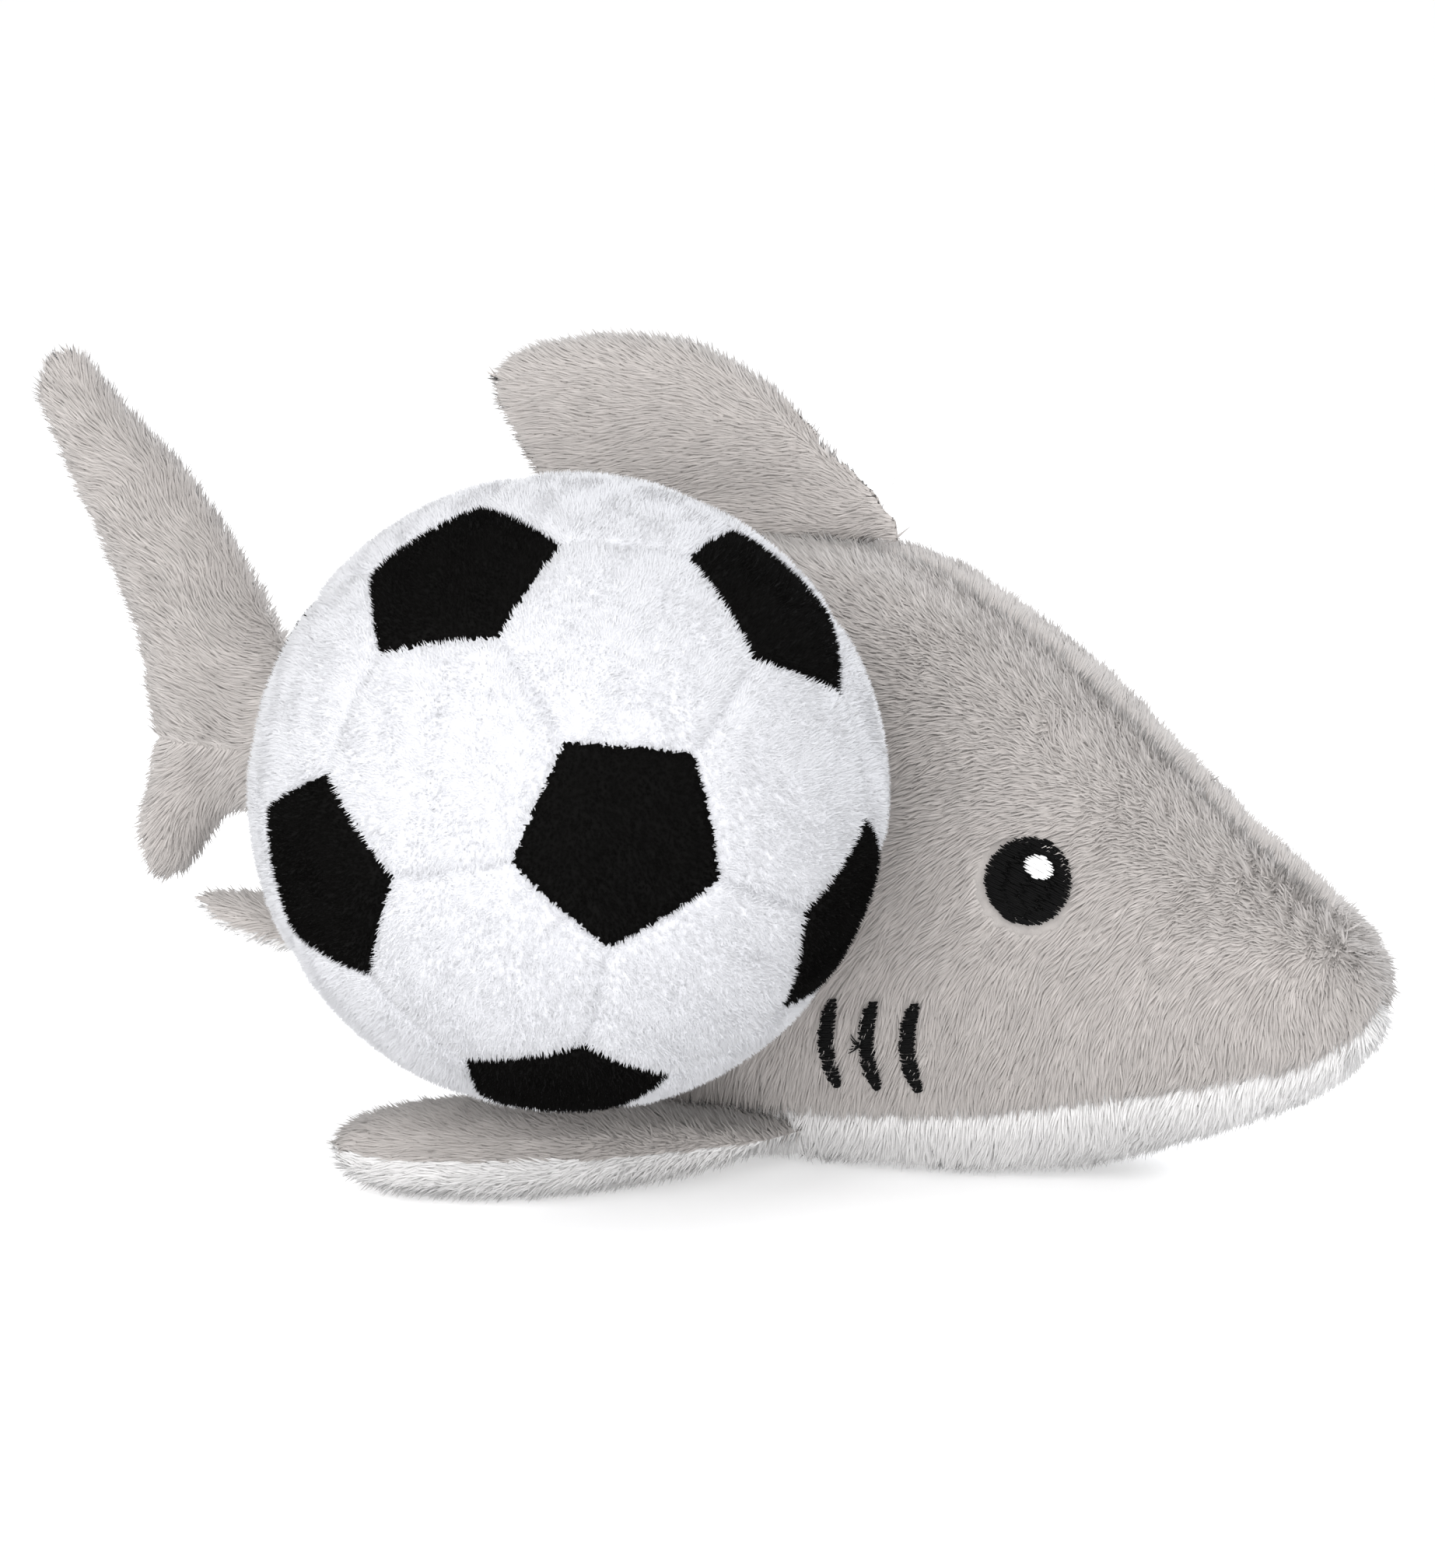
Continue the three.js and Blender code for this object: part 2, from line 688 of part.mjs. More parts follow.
const stitchLow = seamGap;
const stitchHigh = stitchLow + thread;
const glintLow = stitchHigh + seamGap;
const glintX = eyeAlong + eyeDiameter * 0.11;
const glintZ = eyeUp + eyeDiameter * 0.15;
const glintTilt = rad(-12);
const gillSteps = range(5).map((i) => (i - 2) / 2);

for (const [name, side] of [
  ["right", -1],
  ["left", 1],
]) {
  const eye = patch(side, eyeAlong, eyeUp, eyeDiameter, eyeDiameter, 0, stitchLow, stitchHigh);
  add(object, `${name}_eye`, eye, blackThread);
  const glint = patch(
    side,
    glintX,
    glintZ,
    highlightLength,
    highlightWidth,
    glintTilt,
    glintLow,
    glintLow + thread / 2,
  );
  add(object, `${name}_eye_highlight`, glint, whiteThread);

  // three marks, and the thread that runs from mark to mark behind the pile
  const marks = range(3).map((i) => {
    const x = gillFirst + i * gillPitch;
    const places = gillSteps.map((s) => [
      x + gillBend * s * s + gillLean * s,
      gillUp + (s * gillLength) / 2,
    ]);
    return strip(side, places, [gillWidth, 0], stitchLow, stitchHigh);
  });
  const travel = strip(
    side,
    range(9).map((i) => [gillFirst + (gillPitch * i) / 4, gillUp]),
    [0, thread],
    stitchLow + thread / 4,
    stitchLow + thread / 2,
  );
  const gills = marks.reduce((all, mark) => all.add(mark), travel);
  add(object, `${name}_gill_stitches`, toGeometry(gills), blackThread);
}

// ---------------------------------------------------------------- ball

const ballRadius = ballDiameter / 2;
const ballClear = ballRadius + ballStandOff;
const ballOut = clearance(ballUp, ballClear, ballAlong - ballClear, ballAlong + ballClear, true);
const ballCentre = vec(ballAlong, -ballOut, ballUp);
const ball = new THREE.Group();
ball.position.copy(ballCentre);
object.add(ball);

// the pattern: the corners of an icosahedron are the black panels, its faces the white ones
const golden = (1 + Math.sqrt(5)) / 2;
const corners = [-1, 1].flatMap((a) =>
  [-golden, golden].flatMap((b) => [vec(0, a, b), vec(a, b, 0), vec(b, 0, a)]),
);
const outwards = vec(
  Math.sin(rad(ballYaw)) * Math.cos(rad(ballPitch)),
  -Math.cos(rad(ballYaw)) * Math.cos(rad(ballPitch)),
  Math.sin(rad(ballPitch)),
);
const turn = new THREE.Quaternion()
  .setFromAxisAngle(outwards, rad(ballRoll))
  .multiply(new THREE.Quaternion().setFromUnitVectors(corners[0].clone().normalize(), outwards));
const poles = corners.map((corner) => corner.clone().normalize().applyQuaternion(turn));
const neighbourReach = 1.1; // a unit icosahedron's edge is 1.051 and its next distance 1.701
const touches = (a, b) => a !== b && a.distanceTo(b) < neighbourReach;
const cornerBetween = (a, b) => a.clone().multiplyScalar(2).add(b).normalize();

/** One cloth panel: a spherical patch through its corners, with each edge drawn in by half a seam. */
function ballPanel(centre, edge) {
  const ringAt = (radius) =>
    edge.flatMap((corner, i) => {
      const next = edge[(i + 1) % edge.length];
      return [corner, corner.clone().add(next).normalize()].map((p) => {
        const drawIn = 1 - seamGap / 2 / (p.distanceTo(centre) * ballRadius);
        return centre.clone().lerp(p, drawIn).normalize().multiplyScalar(radius);
      });
    });
  const radii = [ballRadius - ballCloth, ballRadius];
  return loft(
    radii.map(ringAt),
    radii.map((radius) => centre.clone().multiplyScalar(radius)),
  );
}

const around = (centre, points) => {
  const side = points[0].clone().sub(centre).projectOnPlane(centre).normalize();
  const other = centre.clone().cross(side);
  const bearing = (p) => Math.atan2(p.dot(other), p.dot(side));
  return [...points].sort((a, b) => bearing(a) - bearing(b));
};

poles.forEach((pole, i) => {
  const ends = poles.filter((other) => touches(pole, other)).map((other) => cornerBetween(pole, other));
  add(ball, `ball_black_panel_${i + 1}`, ballPanel(pole, around(pole, ends)), ballBlack);
});

const faces = [];
poles.forEach((a, i) =>
  poles.slice(i + 1).forEach((b, j) =>
    poles.slice(i + j + 2).forEach((c) => {
      if (touches(a, b) && touches(b, c) && touches(a, c)) faces.push([a, b, c]);
    }),
  ),
);
faces.forEach(([a, b, c], i) => {
  const centre = a.clone().add(b).add(c).normalize();
  const pairs = [a, b, c].flatMap((p) => [a, b, c].filter((q) => q !== p).map((q) => [p, q]));
  const ends = pairs.map(([p, q]) => cornerBetween(p, q));
  add(ball, `ball_white_panel_${i + 1}`, ballPanel(centre, around(centre, ends)), ballWhite);
});

const facetSag = 1.1; // flat facets of the cloth panels reach this far in from the sphere
const ballFill = new THREE.IcosahedronGeometry(ballRadius - ballCloth - seamGap - facetSag, 3);
add(ball, "ball_stuffing", toGeometry(toSolid(ballFill)), fibre);

// the thread shank that tacks the ball to the flank, at their nearest points
let nearest = bodyPoint(ballAlong, 0);
for (const j of range(161)) {
  const skin = bodyPoint(ballAlong, rad(-80 + j));
  if (skin.distanceTo(ballCentre) < nearest.distanceTo(ballCentre)) nearest = skin;
}
const tackDirection = ballCentre.clone().sub(nearest).normalize();
const tackLength = ballStandOff - 2 * seamGap;
const tack = add(
  object,
  "ball_tack_thread",
  new THREE.CylinderGeometry(tackRadius, tackRadius, tackLength, 8),
  whiteThread,
);
tack.quaternion.setFromUnitVectors(vec(0, 1, 0), tackDirection);
tack.position.copy(nearest).addScaledVector(tackDirection, seamGap + tackLength / 2);

export default object;
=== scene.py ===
import json
import math

import bmesh
import bpy
import numpy as np
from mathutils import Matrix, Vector
from mathutils.bvhtree import BVHTree


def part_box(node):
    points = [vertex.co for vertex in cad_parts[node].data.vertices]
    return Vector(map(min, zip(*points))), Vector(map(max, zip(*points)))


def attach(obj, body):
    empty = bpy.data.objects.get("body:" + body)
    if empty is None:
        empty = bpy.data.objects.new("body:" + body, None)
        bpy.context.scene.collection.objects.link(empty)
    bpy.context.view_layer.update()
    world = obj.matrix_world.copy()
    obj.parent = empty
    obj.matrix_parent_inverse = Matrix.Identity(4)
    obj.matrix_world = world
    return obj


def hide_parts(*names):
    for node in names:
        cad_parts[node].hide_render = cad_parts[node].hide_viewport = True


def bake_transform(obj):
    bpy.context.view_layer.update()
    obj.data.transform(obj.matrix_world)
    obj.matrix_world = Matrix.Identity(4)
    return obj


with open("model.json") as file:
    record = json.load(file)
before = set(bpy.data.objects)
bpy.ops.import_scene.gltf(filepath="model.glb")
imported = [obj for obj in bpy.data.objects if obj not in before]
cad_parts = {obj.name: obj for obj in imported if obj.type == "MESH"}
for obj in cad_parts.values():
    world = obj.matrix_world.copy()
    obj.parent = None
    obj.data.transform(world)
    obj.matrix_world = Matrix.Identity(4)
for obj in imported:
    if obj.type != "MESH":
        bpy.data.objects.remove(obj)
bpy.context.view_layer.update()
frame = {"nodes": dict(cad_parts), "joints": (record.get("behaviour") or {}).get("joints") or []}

MM = 0.001
SIDES = {"right": -1, "left": 1}

# ------------------------------------------------------------------ driving values

VIEW_AZIMUTH = 20.0
VIEW_ELEVATION = 9.5
VIEW_DISTANCE = 0.95
VIEW_TARGET = Vector((0.0, 0.0, 0.0587))
LENS = 132.3

FLOOR_GAP = 0.3 * MM
SKIN_VOXEL = 2.0 * MM
SKIN_INSET = 1.9 * MM  # cloth backing below the tips of the pile
SKIN_SWELL = 1.2 * MM  # how far the stuffing may push the cloth out
FIN_VOXEL = 1.3 * MM
FIN_INSET = 1.3 * MM
ROOT_FLARE = 0.14  # how much longer a fin's root is inside the body
BALL_INSET = 1.3 * MM
BALL_SWELL = 1.4 * MM
BALL_SEWN_REACH = 1.1 * MM
PUCKER_WIDTH = 2.2 * MM  # of the dip on both sides of a seam of the ball
PUCKER_DEPTH = 0.5 * MM
GROOVE_WIDTH = 0.8 * MM  # of the seam itself
GROOVE_DEPTH = 0.55 * MM
CLOTH_FLOOR = FLOOR_GAP + 0.6 * MM  # lowest place of a backing cloth
MOST_TAKEN_IN = 0.28  # share of a skin's own thickness that its inset may take
SEWN_REACH = 2 * MM  # cloth this near a belly seam is held while the stuffing swells
PRESSED_HEIGHT = 3 * MM  # and so is cloth that lies this low
FIN_SWELL = 0.9 * MM
FIN_SEWN_REACH = 1.2 * MM
FIN_SEAM_DEPTH = 0.3 * MM
BACK_HEIGHT = 0.45  # share of the body's height above which a seam is the back seam

CLOTH_FRAMES = 20
CLOTH_MASS = 0.2
CLOTH_STRETCH = 12
CLOTH_SHEAR = 8
CLOTH_BEND = 0.4
BODY_PRESSURE = 4.0
FIN_PRESSURE = 5.0
BALL_PRESSURE = 4.0

SEAM_WIDTH = 1.3 * MM
SEAM_DEPTH = 1.1 * MM
NOSE_FOLDS = 7
NOSE_REACH = 8 * MM
NOSE_DEPTH = 0.8 * MM
NOSE_PIT = 2.2 * MM  # radius of the dip in the middle of the folds
NOSE_PIT_DEPTH = 1.4  # in folds' depths
PILE_FLOOR = 0.05 * MM  # no tuft reaches lower
SKY = 0.74  # strength of the even white light all round
FLOOR_GLOW = 0.365  # so that the floor is evenly white
FLOOR_COLOUR = (0.86, 0.86, 0.865)
FLOOR_REACH = 14.0  # metres to each side
LIGHT_TARGET = Vector((0, 0, 0.05))
LIGHTS = (  # name, place, diameter in metres, watts, colour
    ("key", (0.3, -1.1, 0.5), 0.9, 11.5, (1, 1, 1)),
    ("left", (-0.95, -0.75, 0.4), 1.0, 4.5, (1, 1, 1)),
    ("top", (0.1, 0.2, 1.3), 1.0, 2, (1, 1, 1)),
    ("far", (0.45, 0.9, 0.8), 0.8, 9, (0.93, 0.96, 1.0)),
)

PILE_LENGTH = 3.0 * MM
PILE_WIDTH = 0.5 * MM
PILE_DENSITY = 4.0 / MM**2  # tufts per square metre
PILE_LEAN = math.radians(54)
COMB_HIGH = math.radians(28)  # the pile's slope below level, high on the flank
COMB_LOW = math.radians(86)  # and near the belly
PARTING = 5 * MM  # reach of the parted pile on each side of the back seam
BALL_PILE_LENGTH = 1.15 * MM
BALL_PILE_WIDTH = 0.3 * MM
BALL_PILE_DENSITY = 5.0 / MM**2
BALL_PILE_LEAN = math.radians(18)
LEAN_SPREAD = 0.22  # between tufts, as a share of their lean
WIDTH_RANGE = (0.75, 1.25)  # of single tufts, in pile widths
LENGTH_RANGE = (0.7, 1.2)
PATCH_SIZE = 4 * MM  # of lighter and darker patches of pile
PATCH_SHADES = 0.6  # and how many shades they differ by
SHADE_SPREAD = 1.2  # of single tufts, in shades
TAIL_PAINTED_LIGHT = 0.9  # shades lighter along the tail's rear edge: painted light
TAIL_PAINTED_SHADE = 1.1  # and darker along its front edge: painted shade, as that edge turns away from the light
TAIL_LEVELS = 24  # heights at which the tail's outline is read
TUFTS_PER_PIECE = 45000
SHADES = 4  # of each pile colour
SOFTNESS = 0.75  # how far the pile is shaded like the skin under it

THREAD = 0.19 * MM  # radius of embroidery thread
STITCH_PITCH = 0.3 * MM
EYE_STITCH = 3.4 * MM  # longest stitch in the eye's filling
EYE_TURN = math.radians(-24)  # direction of its stitches, from the nose upwards
EYE_LIFT = 1.4 * MM  # embroidery above the backing cloth
EYE_MARGIN = 0.9 * MM  # free of pile round an eye
UNDER_TURN = math.radians(80)  # how the eye's under layer crosses the upper one
UNDER_INSET = 1.6 * MM  # how much smaller it is
UNDER_DROP = 0.3 * MM
HIGHLIGHT_LIFT = EYE_LIFT + 0.65 * MM
HIGHLIGHT_INSET = 0.2 * MM
FILL_DOME = 0.35 * MM  # how far a filled patch rises in its middle
FILL_ARCH = 0.16 * MM  # and each of its stitches
GILL_LENGTH = 14.4 * MM
GILL_WIDTH = 2.2 * MM
GILL_PITCH = 6.6 * MM
GILL_BEND = 1.3 * MM
GILL_LEAN = 0.3 * MM
GILL_MARGIN = 0.8 * MM
GILL_LIFT = EYE_LIFT * 1.1
GILL_ARCH = 0.45 * MM
GILL_THREAD = THREAD * 1.15
FAN_LIFT = EYE_LIFT * 1.3  # of the loose fan of threads at the middle gill mark
FAN_ARCH = 0.5 * MM
FAN_THREAD = THREAD * 0.6
LOOSE_THREAD = THREAD * 0.55
STRAY_HAIRS = 0.03  # share of the pile that lies across the gill marks

GREY = (0.475, 0.445, 0.427)
WHITE = (0.80, 0.79, 0.785)
BALL_WHITE = (0.70, 0.705, 0.735)
BLACK = (0.0035, 0.0033, 0.0031)
BLACK_THREAD = (0.004, 0.004, 0.004)
WHITE_THREAD = (0.82, 0.82, 0.82)

SEEDS = {  # of the random draws; a fin's own is the first fin's and ten more for each before it
    "body": 3,
    "ball": 7,
    "stitches": 23,
    "grey": 101,
    "white": 151,
    "ball_black": 201,
    "ball_white": 251,
    "first_fin": 301,
}

# ------------------------------------------------------------------ arrays and meshes


def unit(vectors):
    """Vectors of length one along the last axis."""
    length = np.linalg.norm(vectors, axis=-1, keepdims=True)
    return vectors / np.maximum(length, 1e-12)


def coordinates(obj):
    """The mesh's points, as an array."""
    points = np.empty(len(obj.data.vertices) * 3, np.float32)
    obj.data.vertices.foreach_get("co", points)
    return points.reshape(-1, 3).astype(float)


def move_points(obj, points):
    """Puts the mesh's points at new places."""
    obj.data.vertices.foreach_set("co", points.astype(np.float32).ravel())
    obj.data.update()


def triangles(obj):
    """The mesh's triangles, as an array of point numbers."""
    mesh = obj.data
    mesh.calc_loop_triangles()
    found = np.empty(len(mesh.loop_triangles) * 3, np.int32)
    mesh.loop_triangles.foreach_get("vertices", found)
    return found.reshape(-1, 3)


def point_normals(points, faces):
    """Area-weighted normals of a triangle mesh at its points."""
    a, b, c = (points[faces[:, i]] for i in range(3))
    across = np.cross(b - a, c - a)
    total = np.zeros_like(points)
    for i in range(3):
        np.add.at(total, faces[:, i], across)
    return unit(total)


def build(name, points, faces, materials=(), indices=None, smooth=True):
    """A mesh object from arrays of points and of faces with equal corner counts."""
    corners = faces.shape[1]
    mesh = bpy.data.meshes.new(name)
    mesh.vertices.add(len(points))
    mesh.vertices.foreach_set("co", points.astype(np.float32).ravel())
    mesh.loops.add(faces.size)
    mesh.loops.foreach_set("vertex_index", faces.astype(np.int32).ravel())
    mesh.polygons.add(len(faces))
    mesh.polygons.foreach_set("loop_start", np.arange(0, faces.size, corners, dtype=np.int32))
    for material in materials:
        mesh.materials.append(material)
    if indices is not None:
        mesh.polygons.foreach_set("material_index", indices.astype(np.int32))
    mesh.polygons.foreach_set("use_smooth", np.full(len(faces), smooth))
    mesh.update(calc_edges=True)
    mesh.validate()
    obj = bpy.data.objects.new(name, mesh)
    bpy.context.scene.collection.objects.link(obj)
    return obj


def bake_modifiers(obj):
    """Turns the object's modifiers into its mesh."""
    evaluated = obj.evaluated_get(bpy.context.evaluated_depsgraph_get())
    mesh = bpy.data.meshes.new_from_object(evaluated)
    obj.modifiers.clear()
    obj.data = mesh


def edge_pairs(obj):
    pairs = np.empty(len(obj.data.edges) * 2, np.int32)
    obj.data.edges.foreach_get("vertices", pairs)
    return pairs.reshape(-1, 2)


def relax(obj, rounds):
    """Smooths the mesh without shrinking it."""
    points = coordinates(obj)
    pairs = edge_pairs(obj)
    count = np.bincount(pairs.ravel(), minlength=len(points))[:, None]
    inwards, outwards = 0.6, -0.61
    for step in range(rounds * 2):
        total = np.zeros_like(points)
        np.add.at(total, pairs[:, 0], points[pairs[:, 1]])
        np.add.at(total, pairs[:, 1], points[pairs[:, 0]])
        share = inwards if step % 2 == 0 else outwards
        points += (total / np.maximum(count, 1) - points) * share
    move_points(obj, points)


def tree_of(*nodes):
    """A search tree over the surfaces of some CAD nodes."""
    points, faces = joined(nodes)
    return BVHTree.FromPolygons(points.tolist(), faces.tolist())


def joined(nodes):
    """The points and triangles of several CAD nodes as one mesh."""
    points, faces, first = [], [], 0
    for node in nodes:
        obj = frame["nodes"][node]
        points.append(coordinates(obj))
        faces.append(triangles(obj) + first)
        first += len(points[-1])
    return np.concatenate(points), np.concatenate(faces)


def distances(tree, points):
    """How far each point is from the tree's surface."""
    return np.array([tree.find_nearest(p)[3] for p in points.tolist()])


def smooth_step(values, low, high):
    t = np.clip((values - low) / (high - low), 0, 1)
    return t * t * (3 - 2 * t)


def ripple(points, size, seed):
    """Smooth vector noise whose features have the given size."""
    rng = np.random.default_rng(seed)
    waves = 7
    total = np.zeros_like(points)
    for _ in range(waves):
        wave = unit(rng.normal(size=3)) * 2 * math.pi / size * rng.uniform(0.6, 1.4)
        total += np.sin((points @ wave)[:, None] + rng.uniform(0, 2 * math.pi, 3))
    return total / math.sqrt(waves)


# ------------------------------------------------------------------ materials


def principled(name, colour, roughness, sheen=0.0, specular=0.2):
    material = bpy.data.materials.new(name)
    material.use_nodes = True
    shader = material.node_tree.nodes["Principled BSDF"]
    shader.inputs["Base Color"].default_value = (*colour, 1)
    shader.inputs["Roughness"].default_value = roughness
    shader.inputs["Specular IOR Level"].default_value = specular
    shader.inputs["Sheen Weight"].default_value = sheen
    shader.inputs["Sheen Roughness"].default_value = 0.6
    return material, shader


def tinted(colour, factor):
    return tuple(min(c * factor, 1) for c in colour)


def cloth_material(name, colour, grain=0.9 * MM, sheen=0.3):
    """Backing cloth and the foot of its pile: mottled, with a fine nap."""
    material, shader = principled(name, colour, 0.95, sheen, 0.1)
    tree = material.node_tree
    place = tree.nodes.new("ShaderNodeTexCoord")
    mottle = tree.nodes.new("ShaderNodeTexNoise")
    mottle.inputs["Scale"].default_value = 0.25 / grain
    mottle.inputs["Detail"].default_value = 4
    ramp = tree.nodes.new("ShaderNodeValToRGB")
    ramp.color_ramp.elements[0].position = 0.3
    ramp.color_ramp.elements[0].color = (*tinted(colour, 0.72), 1)
    ramp.color_ramp.elements[1].position = 0.7
    ramp.color_ramp.elements[1].color = (*tinted(colour, 0.95), 1)
    nap = tree.nodes.new("ShaderNodeTexNoise")
    nap.inputs["Scale"].default_value = 1 / grain
    nap.inputs["Detail"].default_value = 2
    bump = tree.nodes.new("ShaderNodeBump")
    bump.inputs["Strength"].default_value = 0.5
    bump.inputs["Distance"].default_value = grain * 0.5
    tree.links.new(place.outputs["Object"], mottle.inputs["Vector"])
    tree.links.new(place.outputs["Object"], nap.inputs["Vector"])
    tree.links.new(mottle.outputs["Fac"], ramp.inputs["Fac"])
    tree.links.new(ramp.outputs["Color"], shader.inputs["Base Color"])
    tree.links.new(nap.outputs["Fac"], bump.inputs["Height"])
    tree.links.new(bump.outputs["Normal"], shader.inputs["Normal"])
    return material


def pile_materials(name, colour, spread, sheen=0.3):
    """Shades of one pile colour, from darkest to lightest."""
    shades = np.linspace(1 - spread, 1 + spread, SHADES)
    return [
        principled(f"{name}_{i + 1}", tinted(colour, shade), 0.9, sheen, 0.03)[0]
        for i, shade in enumerate(shades)
    ]


def thread_material(name, colour):
    """Twisted embroidery thread with a silky shine."""
    material, shader = principled(name, colour, 0.7, 0.0, 0.06)
    tree = material.node_tree
    place = tree.nodes.new("ShaderNodeTexCoord")
    twist = tree.nodes.new("ShaderNodeTexNoise")
    twist.inputs["Scale"].default_value = 1 / (0.35 * MM)
    bump = tree.nodes.new("ShaderNodeBump")
    bump.inputs["Strength"].default_value = 0.35
    bump.inputs["Distance"].default_value = 0.1 * MM
    tree.links.new(place.outputs["Object"], twist.inputs["Vector"])
    tree.links.new(twist.outputs["Fac"], bump.inputs["Height"])
    tree.links.new(bump.outputs["Normal"], shader.inputs["Normal"])
    return material


CLOTH = {
    "grey": cloth_material("grey_backing", GREY),
    "white": cloth_material("white_backing", WHITE),
    "ball_white": cloth_material("ball_white_backing", BALL_WHITE, 0.5 * MM),
    "ball_black": cloth_material("ball_black_backing", BLACK, 0.5 * MM, 0.0),
}
PILE = {
    "grey": pile_materials("grey_pile", GREY, 0.07),
    "white": pile_materials("white_pile", WHITE, 0.05),
    "ball_white": pile_materials("ball_white_pile", BALL_WHITE, 0.008),
    "ball_black": pile_materials("ball_black_pile", BLACK, 0.2, 0.0),
}
THREAD_BLACK = thread_material("black_thread", BLACK_THREAD)
THREAD_WHITE = thread_material("white_thread", WHITE_THREAD)

# ------------------------------------------------------------------ camera


def add_camera():
    azimuth, elevation = math.radians(VIEW_AZIMUTH), math.radians(VIEW_ELEVATION)
    towards = Vector(
        (
            math.sin(azimuth) * math.cos(elevation),
            -math.cos(azimuth) * math.cos(elevation),
            math.sin(elevation),
        )
    )
    data = bpy.data.cameras.new("camera")
    data.sensor_fit = "VERTICAL"
    data.sensor_height = 36
    data.lens = LENS
    camera = bpy.data.objects.new("camera", data)
    camera.location = VIEW_TARGET + towards * VIEW_DISTANCE
    camera.rotation_euler = towards.to_track_quat("Z", "Y").to_euler()
    bpy.context.scene.collection.objects.link(camera)
    bpy.context.scene.camera = camera


add_camera()

# ------------------------------------------------------------------ cloth


def wrapped(name, nodes, voxel, extra=None):
    """One closed skin round some CAD solids."""
    points, faces = joined(nodes)
    if extra is not None:
        faces = np.concatenate([faces, extra[1] + len(points)])
        points = np.concatenate([points, extra[0]])
    obj = build(name, points, faces)
    remesh = obj.modifiers.new("remesh", "REMESH")
    remesh.mode = "VOXEL"
    remesh.voxel_size = voxel
    bake_modifiers(obj)
    keep_outside(obj)
    return obj


def keep_outside(obj):
    """Deletes every loose part of the mesh but the largest."""
    shape = bmesh.new()
    shape.from_mesh(obj.data)
    left = set(shape.verts)
    largest = set()
    while left:
        part, edge = set(), [left.pop()]
        while edge:
            vert = edge.pop()
            part.add(vert)
            for link in vert.link_edges:
                other = link.other_vert(vert)
                if other in left:
                    left.discard(other)
                    edge.append(other)
        largest = max(largest, part, key=len)
    bmesh.ops.delete(shape, geom=[v for v in shape.verts if v not in largest], context="VERTS")
    shape.to_mesh(obj.data)
    shape.free()


def push(obj, amount):
    """Moves the skin along its normals: by one amount, or by one for each point."""
    points = coordinates(obj)
    normals = point_normals(points, triangles(obj))
    move_points(obj, points + normals * np.asarray(amount).reshape(-1, 1))


def inflate(obj, pinned, pressure, cap):
    """Blows the skin up as stuffing does, held where it is sewn, no further than the cap."""
    before = coordinates(obj)
    group = obj.vertex_groups.new(name="sewn")
    group.add(np.flatnonzero(pinned).tolist(), 1.0, "REPLACE")
    cloth = obj.modifiers.new("cloth", "CLOTH")
    settings = cloth.settings
    settings.quality = 4
    settings.mass = CLOTH_MASS
    settings.tension_stiffness = CLOTH_STRETCH
    settings.compression_stiffness = CLOTH_STRETCH
    settings.shear_stiffness = CLOTH_SHEAR
    settings.bending_stiffness = CLOTH_BEND
    settings.vertex_group_mass = "sewn"
    settings.use_pressure = True
    settings.uniform_pressure_force = pressure
    settings.effector_weights.gravity = 0
    cloth.collision_settings.use_collision = False
    scene = bpy.context.scene
    for number in range(1, CLOTH_FRAMES + 1):
        scene.frame_set(number)
    bake_modifiers(obj)
    scene.frame_set(1)
    obj.vertex_groups.clear()
    moved = coordinates(obj) - before
    length = np.linalg.norm(moved, axis=1, keepdims=True)
    move_points(obj, before + moved * np.minimum(1, cap / np.maximum(length, 1e-9)))


def subdivide(obj):
    """One level of subdivision surface."""
    modifier = obj.modifiers.new("subdivision", "SUBSURF")
    modifier.levels = 1
    modifier.render_levels = 1
    bake_modifiers(obj)
    obj.data.polygons.foreach_set("use_smooth", np.full(len(obj.data.polygons), True))


def face_centres(obj):
    centres = np.empty(len(obj.data.polygons) * 3, np.float32)
    obj.data.polygons.foreach_get("center", centres)
    return centres.reshape(-1, 3).astype(float)


def two_colours(obj, second, first_material, second_material):
    """Gives faces the second material where second, a test of their centres, is true."""
    obj.data.materials.clear()
    obj.data.materials.append(CLOTH[first_material])
    obj.data.materials.append(CLOTH[second_material])
    obj.data.polygons.foreach_set("material_index", second(face_centres(obj)).astype(np.int32))


# ------------------------------------------------------------------ pile


def scatter(obj, density, rng):
    """Evenly random roots on a skin: their places and the skin's normals there."""
    points, faces = coordinates(obj), triangles(obj)
    normals = point_normals(points, faces)
    a, b, c = (points[faces[:, i]] for i in range(3))
    areas = np.linalg.norm(np.cross(b - a, c - a), axis=1) / 2
    count = int(areas.sum() * density)
    steps = (np.arange(count) + rng.uniform(0, 1, count)) / count * areas.sum()
    picked = np.minimum(np.searchsorted(np.cumsum(areas), steps), len(faces) - 1)
    u, v = rng.uniform(0, 1, (2, count))
    over = u + v > 1
    u[over], v[over] = 1 - u[over], 1 - v[over]
    shares = np.stack([1 - u - v, u, v], axis=1)[:, :, None]
    corners = faces[picked]
    return (points[corners] * shares).sum(1), unit((normals[corners] * shares).sum(1))


